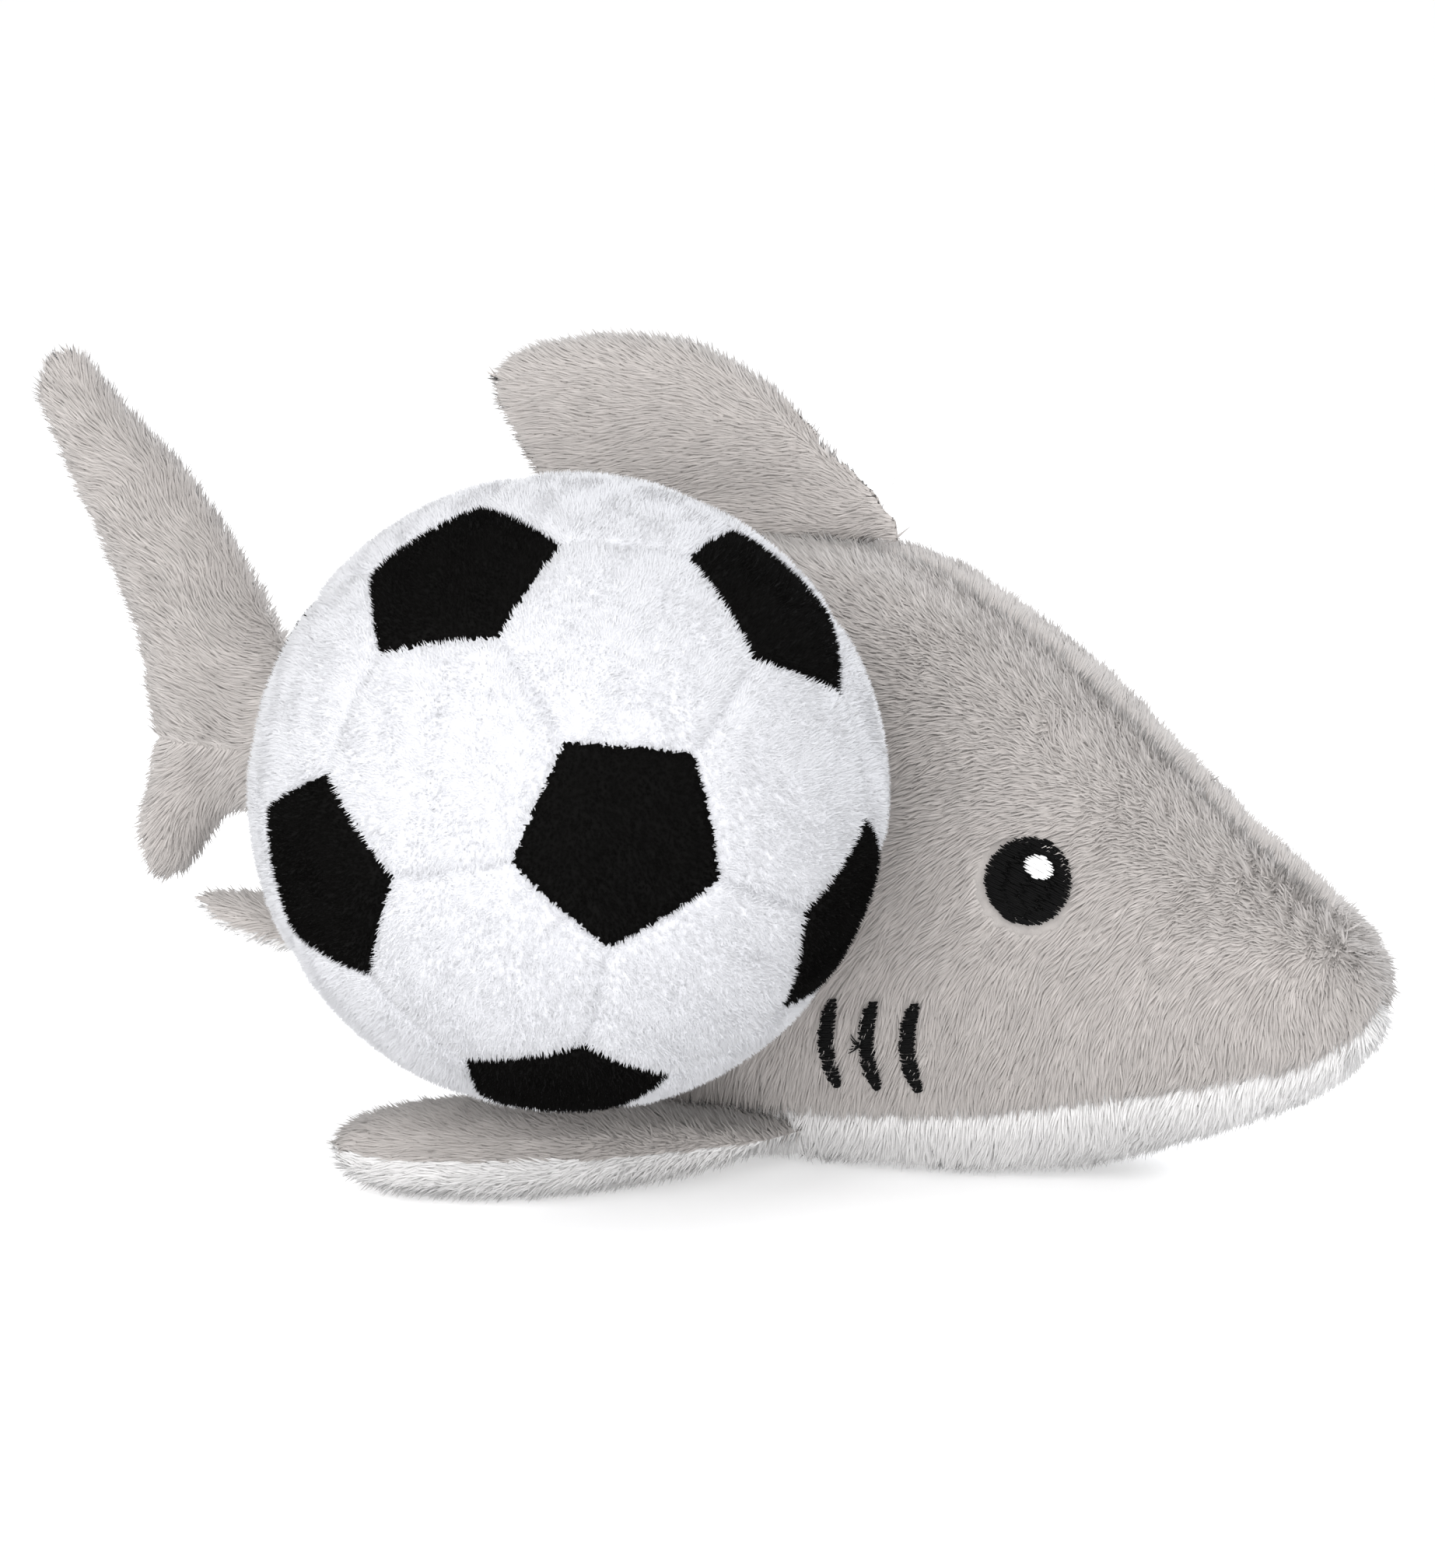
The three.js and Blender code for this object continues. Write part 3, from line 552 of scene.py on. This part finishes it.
def tuft_mesh(roots, normals, combed, lean, length, width, rng):
    """A thin pyramid of pile on each root, leaning along its combed direction."""
    count = len(roots)
    along = unit(combed - normals * (combed * normals).sum(1, keepdims=True))
    lean = (lean * rng.normal(1, LEAN_SPREAD, count))[:, None]
    axis = normals * np.cos(lean) + along * np.sin(lean)
    side = unit(np.cross(normals, along))
    lift = np.cross(axis, side)
    spin = rng.uniform(0, 2 * math.pi, count)
    wide = (width * rng.uniform(*WIDTH_RANGE, count) / 2)[:, None]
    tall = (length * rng.uniform(*LENGTH_RANGE, count))[:, None]
    ring = []
    for i in range(3):
        turn = (spin + i * 2 * math.pi / 3)[:, None]
        ring.append(roots + (side * np.cos(turn) + lift * np.sin(turn)) * wide)
    points = np.stack([*ring, roots + axis * tall], axis=1).reshape(-1, 3)
    points[:, 2] = np.maximum(points[:, 2], PILE_FLOOR)
    corners = np.array([[0, 1, 3], [1, 2, 3], [2, 0, 3], [0, 2, 1]])
    faces = (np.arange(count)[:, None, None] * 4 + corners).reshape(-1, 3)
    return points, faces


def soften(piece, points, faces, normals):
    """Shades tufts partly like the skin under them, which gives the pile its soft look."""
    own = point_normals(points, faces)
    mixed = unit(own * (1 - SOFTNESS) + np.repeat(normals, 4, axis=0) * SOFTNESS)
    piece.data.normals_split_custom_set_from_vertices(mixed.tolist())


def grow(name, kind, roots, normals, combed, lean, length, width, seed, finish, painted_shading=0):
    """
    Pile on the given roots, in as many pieces as its size asks for. finish places each piece,
    and the last argument makes tufts lighter or darker by that many shades, as painted light and shade.
    """
    rng = np.random.default_rng(seed)
    patchy = ripple(roots, PATCH_SIZE, seed + 1)[:, 0] * PATCH_SHADES
    shade = SHADES / 2 + patchy + rng.uniform(-SHADE_SPREAD, SHADE_SPREAD, len(roots)) + painted_shading
    shade = np.clip(np.floor(shade).astype(int), 0, SHADES - 1)
    points, faces = tuft_mesh(roots, normals, combed, lean, length, width, rng)
    pieces = math.ceil(len(roots) / TUFTS_PER_PIECE)
    for i, part in enumerate(np.array_split(np.arange(len(roots)), max(pieces, 1))):
        if not len(part):
            continue
        low, high = part[0] * 4, (part[-1] + 1) * 4
        piece = build(
            f"{name}_{i + 1}" if pieces > 1 else name,
            points[low:high],
            faces[low:high] - low,
            PILE[kind],
            np.repeat(shade[part], 4),
        )
        soften(piece, points[low:high], faces[low:high] - low, normals[part])
        finish(piece)


# ------------------------------------------------------------------ joints and trees

JOINTS = {joint["child"]: joint for joint in frame["joints"]}
GREY_PANELS = ("right_side_panel", "left_side_panel", "tail_right_panel", "tail_left_panel")
grey_tree = tree_of(*GREY_PANELS)
white_tree = tree_of("belly_panel")
right_tree = tree_of("right_side_panel", "tail_right_panel")
left_tree = tree_of("left_side_panel", "tail_left_panel")


def above_belly(points):
    """Signed distance from the belly seams, positive on the grey side panels."""
    return distances(white_tree, points) - distances(grey_tree, points)


def across_back(points):
    """Signed distance from the seam between right and left, positive on the right."""
    return distances(left_tree, points) - distances(right_tree, points)


def hinge_of(fin_name):
    """A place on the fin's root line, and the line's direction."""
    if fin_name in JOINTS:
        joint = JOINTS[fin_name]
        return np.array(joint["pos_m"]), unit(np.array(joint["axis"], float))
    place, axis = hinge_of(fin_name.replace("right", "left"))
    return place * [1, -1, 1], axis


def skin_tree(obj):
    return BVHTree.FromPolygons(coordinates(obj).tolist(), triangles(obj).tolist())


def height_over(tree, points):
    """How far each point stands out of a skin, negative inside it."""
    found = [tree.find_nearest(p) for p in points.tolist()]
    return np.array([(Vector(p) - f[0]).dot(f[1]) for p, f in zip(points.tolist(), found)])


def room_inside(obj):
    """The skin's thickness under each point, straight through to the far side."""
    tree = skin_tree(obj)
    points = coordinates(obj)
    normals = point_normals(points, triangles(obj))
    far = 60 * MM
    just_inside = 0.05 * MM
    start = (points - normals * just_inside).tolist()
    hits = [tree.ray_cast(p, n, far)[3] for p, n in zip(start, (-normals).tolist())]
    return np.array([far if hit is None else hit for hit in hits])


def take_in(obj, inset):
    """Moves the skin inwards, less where it is thin."""
    push(obj, -np.minimum(inset, room_inside(obj) * MOST_TAKEN_IN))


# ------------------------------------------------------------------ body and tail

BACK_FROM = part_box("right_side_panel")[1].z * BACK_HEIGHT
PIVOT = np.array(JOINTS["tail"]["pos_m"])


def bend_at_tail(piece):
    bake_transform(piece)


def nose_gather(points):
    """How deep the cloth is drawn in by the stitches that gather it at the nose."""
    middle = points[np.argmax(points[:, 0])]
    away = points - middle
    radius = np.hypot(away[:, 1], away[:, 2])
    turn = np.arctan2(away[:, 2], away[:, 1])
    near = np.exp(-((radius / NOSE_REACH) ** 2)) * (away[:, 0] > -20 * MM)
    folds = 0.5 + 0.5 * np.cos(NOSE_FOLDS * turn + 0.8 * np.sin(2 * turn))
    pit = np.exp(-((radius / NOSE_PIT) ** 2)) * (away[:, 0] > -8 * MM)
    return NOSE_DEPTH * (near * folds * np.minimum(radius / (2 * MM), 1) + pit * NOSE_PIT_DEPTH)


def make_body():
    body = wrapped(
        "body_cloth",
        (*GREY_PANELS, "belly_panel", "body_stuffing", "tail_stuffing"),
        SKIN_VOXEL,
    )
    relax(body, 8)
    take_in(body, SKIN_INSET + SKIN_SWELL * 0.5)
    points = coordinates(body)
    sewn = (np.abs(above_belly(points)) < SEWN_REACH) | (points[:, 2] < PRESSED_HEIGHT)
    inflate(body, sewn, BODY_PRESSURE, SKIN_SWELL)
    relax(body, 2)
    subdivide(body)
    points = coordinates(body)
    belly_seam = np.exp(-((above_belly(points) / SEAM_WIDTH) ** 2))
    on_back = points[:, 2] > BACK_FROM
    on_body = smooth_step(points[:, 0], PIVOT[0], PIVOT[0] + 20 * MM)
    back_seam = np.exp(-((across_back(points) / SEAM_WIDTH) ** 2)) * on_back * on_body
    push(body, -SEAM_DEPTH * np.maximum(belly_seam * on_body, back_seam))
    push(body, -nose_gather(coordinates(body)))
    points = coordinates(body)
    points[:, 2] = np.maximum(points[:, 2], CLOTH_FLOOR)
    move_points(body, points)
    two_colours(body, lambda centres: above_belly(centres) < 0, "grey", "white")
    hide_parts(*GREY_PANELS, "belly_panel", "body_stuffing", "tail_stuffing")
    bend_at_tail(body)
    return body


# ------------------------------------------------------------------ fins


def hull(points):
    """The convex hull of some points, as points and triangles."""
    shape = bmesh.new()
    for point in points.tolist():
        shape.verts.new(point)
    bmesh.ops.convex_hull(shape, input=shape.verts[:])
    loose = [v for v in shape.verts if not v.link_faces]
    bmesh.ops.delete(shape, geom=loose, context="VERTS")
    bmesh.ops.triangulate(shape, faces=shape.faces[:])
    shape.verts.index_update()
    corners = np.array([[v.index for v in face.verts] for face in shape.faces])
    places = np.array([v.co[:] for v in shape.verts])
    shape.free()
    return places, corners


class Fin:
    """A padded fin sewn to the body along its hinge line."""

    def __init__(self, name, upper, lower, filling, kinds, root_depth, comb):
        self.name, self.kinds, self.comb = name, kinds, comb
        self.nodes = (upper, lower, *filling)
        self.trees = (tree_of(upper), tree_of(lower))
        self.origin, axis = hinge_of(name)
        points, _ = joined(self.nodes)
        middle = points.mean(0) - self.origin
        self.out = unit(middle - axis * (middle @ axis))
        self.rearwards = axis * -math.copysign(1, axis[0])
        root = points[self.reach(points) < 1 * MM]
        along = ((root - root.mean(0)) @ unit(axis))[:, None] * unit(axis)
        sunk = root - self.out * root_depth + along * ROOT_FLARE
        block = hull(np.concatenate([root, sunk]))
        self.skin = self.make_skin(block)
        self.finish(self.skin)
        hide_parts(*self.nodes)

    def reach(self, points):
        """How far points lie from the hinge line, outwards."""
        return (points - self.origin) @ self.out

    def over_seam(self, points):
        """Signed distance from the seam round the fin, positive on the upper panel."""
        return distances(self.trees[1], points) - distances(self.trees[0], points)

    def make_skin(self, block):
        skin = wrapped(f"{self.name}_cloth", self.nodes, FIN_VOXEL, block)
        relax(skin, 6)
        take_in(skin, FIN_INSET + 0.3 * MM)
        points = coordinates(skin)
        at_seam = np.abs(self.over_seam(points)) < FIN_SEWN_REACH
        inflate(skin, at_seam | (self.reach(points) < SEWN_REACH), FIN_PRESSURE, FIN_SWELL)
        relax(skin, 2)
        subdivide(skin)
        points = coordinates(skin)
        seam = np.exp(-((self.over_seam(points) / (1 * MM)) ** 2)) * (self.reach(points) > 3 * MM)
        push(skin, -FIN_SEAM_DEPTH * seam)
        points = coordinates(skin)
        points[:, 2] = np.maximum(points[:, 2], CLOTH_FLOOR)
        move_points(skin, points)
        two_colours(skin, lambda centres: self.over_seam(centres) < 0, *self.kinds)
        return skin

    def finish(self, piece):
        """Places a piece of the fin: parents it to the body when the fin has no joint, else bakes its
        transform into its mesh.
        """
        if self.name not in JOINTS:
            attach(piece, "body")
            return
        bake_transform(piece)

    def combed(self, points):
        along, outwards, down = self.comb
        flow = self.rearwards * along + self.out * outwards + np.array([0, 0, -down])
        return flow + ripple(points, 14 * MM, 31) * 0.22 + ripple(points, 3.5 * MM, 37) * 0.16


def make_fins():
    fins = [
        Fin(
            "dorsal_fin",
            "dorsal_fin_right_panel",
            "dorsal_fin_left_panel",
            ("dorsal_fin_stuffing",),
            ("grey", "grey"),
            root_depth=6 * MM,
            comb=(1.0, 0.25, 0.0),
        )
    ]
    for side in SIDES:
        fins.append(
            Fin(
                f"{side}_pectoral_fin",
                f"{side}_pectoral_upper_panel",
                f"{side}_pectoral_lower_panel",
                (f"{side}_pectoral_stuffing",),
                ("grey", "white"),
                root_depth=9 * MM,
                comb=(0.9, 0.7, 0.0),
            )
        )
        fins.append(
            Fin(
                f"{side}_pelvic_fin",
                f"{side}_pelvic_upper_panel",
                f"{side}_pelvic_lower_panel",
                (),
                ("grey", "white"),
                root_depth=5 * MM,
                comb=(0.8, 0.7, 0.2),
            )
        )
    return fins


# ------------------------------------------------------------------ ball

BALL_KINDS = {"black": 12, "white": 20}
ball_low, ball_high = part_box("ball_stuffing")
BALL_CENTRE = np.array((ball_low + ball_high) / 2)
PENTAGON_DISTANCE = 2.3274  # of a face's plane from the centre, in edges of the solid
HEXAGON_DISTANCE = 2.2672


def ball_panels():
    """The panels' directions from the centre, each over the distance of its face's plane."""
    rows = []
    for kind, distance in (("black", PENTAGON_DISTANCE), ("white", HEXAGON_DISTANCE)):
        for number in range(BALL_KINDS[kind]):
            points, _ = joined([f"ball_{kind}_panel_{number + 1}"])
            rows.append(unit((points - BALL_CENTRE).mean(0)) / distance)
    return np.array(rows)


BALL_FACES = ball_panels()


def ball_seams(points):
    """For each point: its distance from the nearest seam, and whether it is on black cloth."""
    scores = unit(points - BALL_CENTRE) @ BALL_FACES.T
    order = np.argsort(scores, axis=1)
    first, second = order[:, -1], order[:, -2]
    rows = np.arange(len(points))
    gap = np.linalg.norm(BALL_FACES[first] - BALL_FACES[second], axis=1)
    radius = np.linalg.norm(points - BALL_CENTRE, axis=1)
    distance = radius * np.arcsin((scores[rows, first] - scores[rows, second]) / gap)
    return distance, first < BALL_KINDS["black"]


def make_ball():
    shape = bmesh.new()
    corner, _ = joined(["ball_white_panel_1"])
    radius = np.linalg.norm(corner - BALL_CENTRE, axis=1).max() - BALL_INSET
    bmesh.ops.create_icosphere(shape, subdivisions=6, radius=radius)
    mesh = bpy.data.meshes.new("ball_cloth")
    shape.to_mesh(mesh)
    shape.free()
    ball = bpy.data.objects.new("ball_cloth", mesh)
    bpy.context.scene.collection.objects.link(ball)
    points = coordinates(ball) + BALL_CENTRE
    distance, _ = ball_seams(points)
    inwards = unit(BALL_CENTRE - points)
    pucker = np.exp(-((distance / PUCKER_WIDTH) ** 2))[:, None]
    move_points(ball, points + inwards * (BALL_SWELL * 0.35 + pucker * PUCKER_DEPTH))
    inflate(ball, distance < BALL_SEWN_REACH, BALL_PRESSURE, BALL_SWELL)
    relax(ball, 2)
    subdivide(ball)
    distance, _ = ball_seams(coordinates(ball))
    push(ball, -GROOVE_DEPTH * np.exp(-((distance / GROOVE_WIDTH) ** 2)))
    two_colours(ball, lambda centres: ball_seams(centres)[1], "ball_white", "ball_black")
    panels = [f"ball_{kind}_panel_{i + 1}" for kind, count in BALL_KINDS.items() for i in range(count)]
    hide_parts(*panels, "ball_stuffing")
    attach(ball, "ball")
    return ball


# ------------------------------------------------------------------ pile on every skin


def tail_painted_light_and_shade(points):
    """Lighter pile along the tail's rear edge and darker pile along its front edge, in shades: painted
    light and painted shade for how light falls on the curved tail.
    """
    outline, _ = joined(("tail_right_panel", "tail_left_panel"))
    outline = outline[outline[:, 0] < PIVOT[0] - 12 * MM]
    levels = np.linspace(outline[:, 2].min(), outline[:, 2].max(), TAIL_LEVELS)
    order = [np.argsort(np.abs(outline[:, 2] - level)) for level in levels]
    nearest = [outline[row[:TAIL_LEVELS], 0] for row in order]
    rear = np.interp(points[:, 2], levels, [row.min() for row in nearest])
    front = np.interp(points[:, 2], levels, [row.max() for row in nearest])
    share = (points[:, 0] - rear) / np.maximum(front - rear, 1 * MM)
    # painted light near the rear edge, then painted shade near the front edge
    lighter = TAIL_PAINTED_LIGHT * (1 - smooth_step(share, 0.15, 0.4))
    return lighter - TAIL_PAINTED_SHADE * smooth_step(share, 0.6, 0.85)


def cover_body(body, fins):
    rng = np.random.default_rng(SEEDS["body"])
    roots, normals = scatter(body, PILE_DENSITY, rng)
    keep = np.ones(len(roots), bool)
    for fin in fins:
        points = coordinates(fin.skin)
        low, high = points.min(0), points.max(0)
        inside = ((roots > low) & (roots < high)).all(1)
        if inside.any():
            keep[np.flatnonzero(inside)[height_over(skin_tree(fin.skin), roots[inside]) < 0]] = False
    eyes = tree_of(*(f"{side}_eye" for side in SIDES))
    gills = tree_of(*(f"{side}_gill_stitches" for side in SIDES))
    stray = rng.uniform(0, 1, len(roots)) < STRAY_HAIRS
    keep &= distances(eyes, roots) > SKIN_INSET + EYE_MARGIN
    keep &= (distances(gills, roots) > SKIN_INSET + GILL_MARGIN) | stray
    roots, normals = roots[keep], normals[keep]
    grey = above_belly(roots) + ripple(roots, 2 * MM, 5)[:, 0] * 0.15 * MM > 0
    height = roots[:, 2]
    low_down = 1 - smooth_step(height, 12 * MM, 66 * MM)
    slope = COMB_HIGH + (COMB_LOW - COMB_HIGH) * low_down
    flow = np.stack([-np.cos(slope), np.zeros(len(roots)), -np.sin(slope)], axis=1)
    on_tail = smooth_step(-roots[:, 0], -PIVOT[0] + 4 * MM, -PIVOT[0] + 22 * MM)[:, None]
    lobe = np.where(height > PIVOT[2], 1, -1)
    tail_flow = np.stack([np.full(len(roots), -0.6), np.zeros(len(roots)), 0.8 * lobe], axis=1)
    flow = flow * (1 - on_tail) + tail_flow * on_tail
    across = across_back(roots)
    parting = np.exp(-((across / PARTING) ** 2)) * (height > BACK_FROM)
    flow[:, 1] -= np.sign(across) * parting * (1 - on_tail[:, 0]) * 1.3
    flow += ripple(roots, 16 * MM, 11) * 0.25 + ripple(roots, 3.5 * MM, 17) * 0.17
    lean = PILE_LEAN * (1 + 0.12 * ripple(roots, 6 * MM, 19)[:, 1])
    # painted light along the tail's rear edge and painted shade along its front edge, in shades
    painted_shading = tail_painted_light_and_shade(roots) * on_tail[:, 0]
    for kind, chosen in (("grey", grey), ("white", ~grey)):
        grow(
            f"body_{kind}_pile",
            kind,
            roots[chosen],
            normals[chosen],
            flow[chosen],
            lean[chosen],
            PILE_LENGTH,
            PILE_WIDTH,
            SEEDS[kind],
            bend_at_tail,
            painted_shading[chosen],
        )


def cover_fin(fin, body_tree, seed):
    rng = np.random.default_rng(seed)
    roots, normals = scatter(fin.skin, PILE_DENSITY, rng)
    out = height_over(body_tree, roots) > 0.2 * MM
    roots, normals = roots[out], normals[out]
    upper = fin.over_seam(roots) > 0
    flow = fin.combed(roots)
    same = fin.kinds[0] == fin.kinds[1]
    for number, kind in enumerate(fin.kinds[:1] if same else fin.kinds):
        chosen = np.ones(len(roots), bool) if same else (upper if number == 0 else ~upper)
        grow(
            f"{fin.name}_{kind}_pile",
            kind,
            roots[chosen],
            normals[chosen],
            flow[chosen],
            np.full(chosen.sum(), PILE_LEAN * 1.05),
            PILE_LENGTH * 0.9,
            PILE_WIDTH,
            seed + 1 + number,
            fin.finish,
        )


def cover_ball(ball):
    rng = np.random.default_rng(SEEDS["ball"])
    roots, normals = scatter(ball, BALL_PILE_DENSITY, rng)
    _, black = ball_seams(roots)
    flow = ripple(roots, 9 * MM, 41) + rng.normal(0, 0.8, roots.shape)
    for kind, chosen in (("ball_black", black), ("ball_white", ~black)):
        grow(
            f"{kind}_pile",
            kind,
            roots[chosen],
            normals[chosen],
            flow[chosen],
            np.full(chosen.sum(), BALL_PILE_LEAN),
            BALL_PILE_LENGTH,
            BALL_PILE_WIDTH,
            SEEDS[kind],
            lambda piece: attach(piece, "ball"),
        )


# ------------------------------------------------------------------ embroidery


def flank_point(tree, side, x, z, lift):
    """The place on a flank at x and z, lifted off the backing, and the skin's normal there."""
    start = Vector((x, SIDES[side] * 0.12, z))
    place, normal, _, _ = tree.ray_cast(start, Vector((0, -SIDES[side], 0)))
    return np.array(place + normal * lift), np.array(normal)


def tube(path, normals, radius, sides=6):
    """A closed round thread along a path, thinner at its ends."""
    count = len(path)
    forward = unit(np.gradient(path, axis=0))
    across = unit(np.cross(forward, normals))
    up = np.cross(across, forward)
    taper = np.minimum(1, 0.45 + np.sin(np.linspace(0, math.pi, count)))[:, None]
    rings = []
    for turn in np.arange(sides) * 2 * math.pi / sides:
        rings.append(path + (across * math.cos(turn) + up * math.sin(turn)) * radius * taper)
    points = np.stack(rings, axis=1).reshape(-1, 3)
    points = np.concatenate([points, path[:1], path[-1:]])
    faces = []
    for i in range(count - 1):
        for j in range(sides):
            a, b = i * sides + j, i * sides + (j + 1) % sides
            faces += [[a, b, b + sides], [a, b + sides, a + sides]]
    last = (count - 1) * sides
    for j in range(sides):
        k = (j + 1) % sides
        faces += [[count * sides, k, j], [count * sides + 1, last + j, last + k]]
    return points, np.array(faces)


class Threads:
    """Collects threads into one piece."""

    def __init__(self):
        self.points, self.faces, self.count = [], [], 0

    def add(self, points, faces):
        self.points.append(points)
        self.faces.append(faces + self.count)
        self.count += len(points)

    def piece(self, name, material, slot, *nodes):
        obj = build(name, np.concatenate(self.points), np.concatenate(self.faces), [material])
        if nodes:
            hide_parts(*nodes)
        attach(obj, "body")
        return obj


def stitch(threads, tree, side, start, end, lift, arch, radius, steps=7):
    """One stitch between two (x, z) places on a flank, rising in the middle."""
    shares = np.linspace(0, 1, steps)
    places, normals = [], []
    for share in shares:
        x, z = start[0] + (end[0] - start[0]) * share, start[1] + (end[1] - start[1]) * share
        place, normal = flank_point(tree, side, x, z, lift + arch * math.sin(math.pi * share) ** 0.6)
        places.append(place)
        normals.append(normal)
    threads.add(*tube(np.array(places), np.array(normals), radius))


def filled_patch(threads, tree, side, middle, length, width, turn, lift, rng):
    """An oval filled with rows of short stitches, with a ragged rim."""
    along = np.array([math.cos(turn), math.sin(turn)])
    across = np.array([-along[1], along[0]])
    rows = int(width / STITCH_PITCH)
    for row in range(rows + 1):
        offset = (row / rows - 0.5) * width
        half = length / 2 * math.sqrt(max(1 - (2 * offset / width) ** 2, 0.02))
        low = -half - rng.uniform(0, 0.45 * MM)
        high = half + rng.uniform(0, 0.45 * MM)
        pieces = max(1, round((high - low) / EYE_STITCH))
        cuts = np.linspace(low, high, pieces + 1)
        cuts[1:-1] += rng.uniform(-0.9, 0.9, pieces - 1) * MM
        dome = FILL_DOME * (1 - (2 * offset / width) ** 2)
        for a, b in zip(cuts[:-1], cuts[1:]):
            start = middle + along * a + across * (offset + rng.normal(0, 0.05 * MM))
            end = middle + along * b + across * (offset + rng.normal(0, 0.05 * MM))
            stitch(threads, tree, side, start, end, lift + dome, FILL_ARCH, THREAD)


def flat_centre(node):
    low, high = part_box(node)
    return np.array([(low.x + high.x) / 2, (low.z + high.z) / 2])


def make_eye(tree, side, rng):
    middle = flat_centre(f"{side}_eye")
    low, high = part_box(f"{side}_eye")
    threads = Threads()
    diameter = high.z - low.z
    for layer, turn in enumerate((EYE_TURN + UNDER_TURN, EYE_TURN)):
        filled_patch(
            threads,
            tree,
            side,
            middle,
            high.x - low.x - (1 - layer) * UNDER_INSET,
            diameter - (1 - layer) * UNDER_INSET,
            turn,
            EYE_LIFT - (1 - layer) * UNDER_DROP,
            rng,
        )
    threads.piece(f"{side}_eye_threads", THREAD_BLACK, "black_thread", f"{side}_eye")
    glint = Threads()
    low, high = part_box(f"{side}_eye_highlight")
    filled_patch(
        glint,
        tree,
        side,
        flat_centre(f"{side}_eye_highlight"),
        high.x - low.x,
        high.z - low.z - HIGHLIGHT_INSET,
        EYE_TURN,
        HIGHLIGHT_LIFT,
        rng,
    )
    glint.piece(
        f"{side}_eye_highlight_threads",
        THREAD_WHITE,
        "white_thread",
        f"{side}_eye_highlight",
    )


def make_gills(tree, side, rng):
    threads = Threads()
    middle = flat_centre(f"{side}_gill_stitches")
    for mark in (-1, 0, 1):
        for step in np.arange(-1, 1.001, 2 * STITCH_PITCH / GILL_LENGTH):
            bow = GILL_BEND * (step * step - 0.5) + GILL_LEAN * step
            x = middle[0] + mark * GILL_PITCH + bow
            z = middle[1] + step * GILL_LENGTH / 2
            round_end = math.sqrt(max(1 - step**6, 0.15))
            left = x - GILL_WIDTH / 2 * round_end - rng.uniform(0, 0.5) * MM
            right = x + GILL_WIDTH / 2 * round_end + rng.uniform(-0.1, 0.25) * MM
            drop = rng.uniform(-0.25, 0.1) * MM
            start, end = (left, z + drop), (right, z + rng.uniform(0, 0.3) * MM)
            stitch(threads, tree, side, start, end, GILL_LIFT, GILL_ARCH, GILL_THREAD)
    for spread in np.linspace(-1.5, 1.7, 6) * MM:
        left = middle[0] + GILL_BEND * -0.5 - GILL_WIDTH / 2
        start, end = (left + 0.3 * MM, middle[1]), (left - rng.uniform(1, 2.1) * MM, middle[1] + spread)
        stitch(threads, tree, side, start, end, FAN_LIFT, FAN_ARCH, FAN_THREAD)
    threads.piece(
        f"{side}_gill_threads",
        THREAD_BLACK,
        "black_thread",
        f"{side}_gill_stitches",
    )


def make_thread_ends():
    """Two loose ends of sewing thread at the front of the dorsal fin's root."""
    ends = Threads()
    hinge, axis = hinge_of("dorsal_fin")
    front = hinge + axis * (max(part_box("dorsal_fin_right_panel")[1].x - hinge[0], 0) + 1 * MM)
    for side_step, rise in ((-1.2, 2.6), (0.6, 4.2)):
        share = np.linspace(0, 1, 8)[:, None]
        bend = np.array([1.8, side_step, rise]) * MM
        path = front + bend * share + np.array([1.2, 0, -1.0]) * MM * np.sin(math.pi * share)
        ends.add(*tube(path, np.tile([0.0, 1.0, 0.0], (8, 1)), LOOSE_THREAD))
    ends.piece("dorsal_thread_ends", THREAD_WHITE, "white_thread")


# ------------------------------------------------------------------ floor and light


def add_stage():
    corners = np.array([[-1, -1, 0], [1, -1, 0], [1, 1, 0], [-1, 1, 0]]) * FLOOR_REACH
    material, shader = principled("pale_floor", FLOOR_COLOUR, 0.9)
    shader.inputs["Emission Color"].default_value = (1, 1, 1, 1)
    shader.inputs["Emission Strength"].default_value = FLOOR_GLOW
    floor = build("floor", corners, np.array([[0, 1, 2, 3]]), [material], smooth=False)


def add_light(name, place, size, power, colour):
    data = bpy.data.lights.new(name, "AREA")
    data.shape = "DISK"
    data.size = size
    data.energy = power
    data.color = colour
    light = bpy.data.objects.new(name, data)
    light.location = place
    aim = Vector(place) - LIGHT_TARGET
    light.rotation_euler = aim.to_track_quat("Z", "Y").to_euler()
    bpy.context.scene.collection.objects.link(light)


def add_lights():
    world = bpy.data.worlds.new("studio")
    world.use_nodes = True
    background = world.node_tree.nodes["Background"]
    background.inputs["Color"].default_value = (1, 1, 1, 1)
    background.inputs["Strength"].default_value = SKY
    bpy.context.scene.world = world
    for row in LIGHTS:
        add_light(*row)


# ------------------------------------------------------------------ the toy

bpy.context.scene.view_settings.view_transform = "Standard"
add_stage()
add_lights()
body_skin = make_body()
body_tree = skin_tree(body_skin)
all_fins = make_fins()
ball_skin = make_ball()
cover_body(body_skin, all_fins)
for index, each_fin in enumerate(all_fins):
    cover_fin(each_fin, body_tree, SEEDS["first_fin"] + 10 * index)
cover_ball(ball_skin)
stitch_rng = np.random.default_rng(SEEDS["stitches"])
for flank in SIDES:
    make_eye(body_tree, flank, stitch_rng)
    make_gills(body_tree, flank, stitch_rng)
make_thread_ends()
tack = frame["nodes"]["ball_tack_thread"]
tack.data.materials.clear()
tack.data.materials.append(THREAD_WHITE)
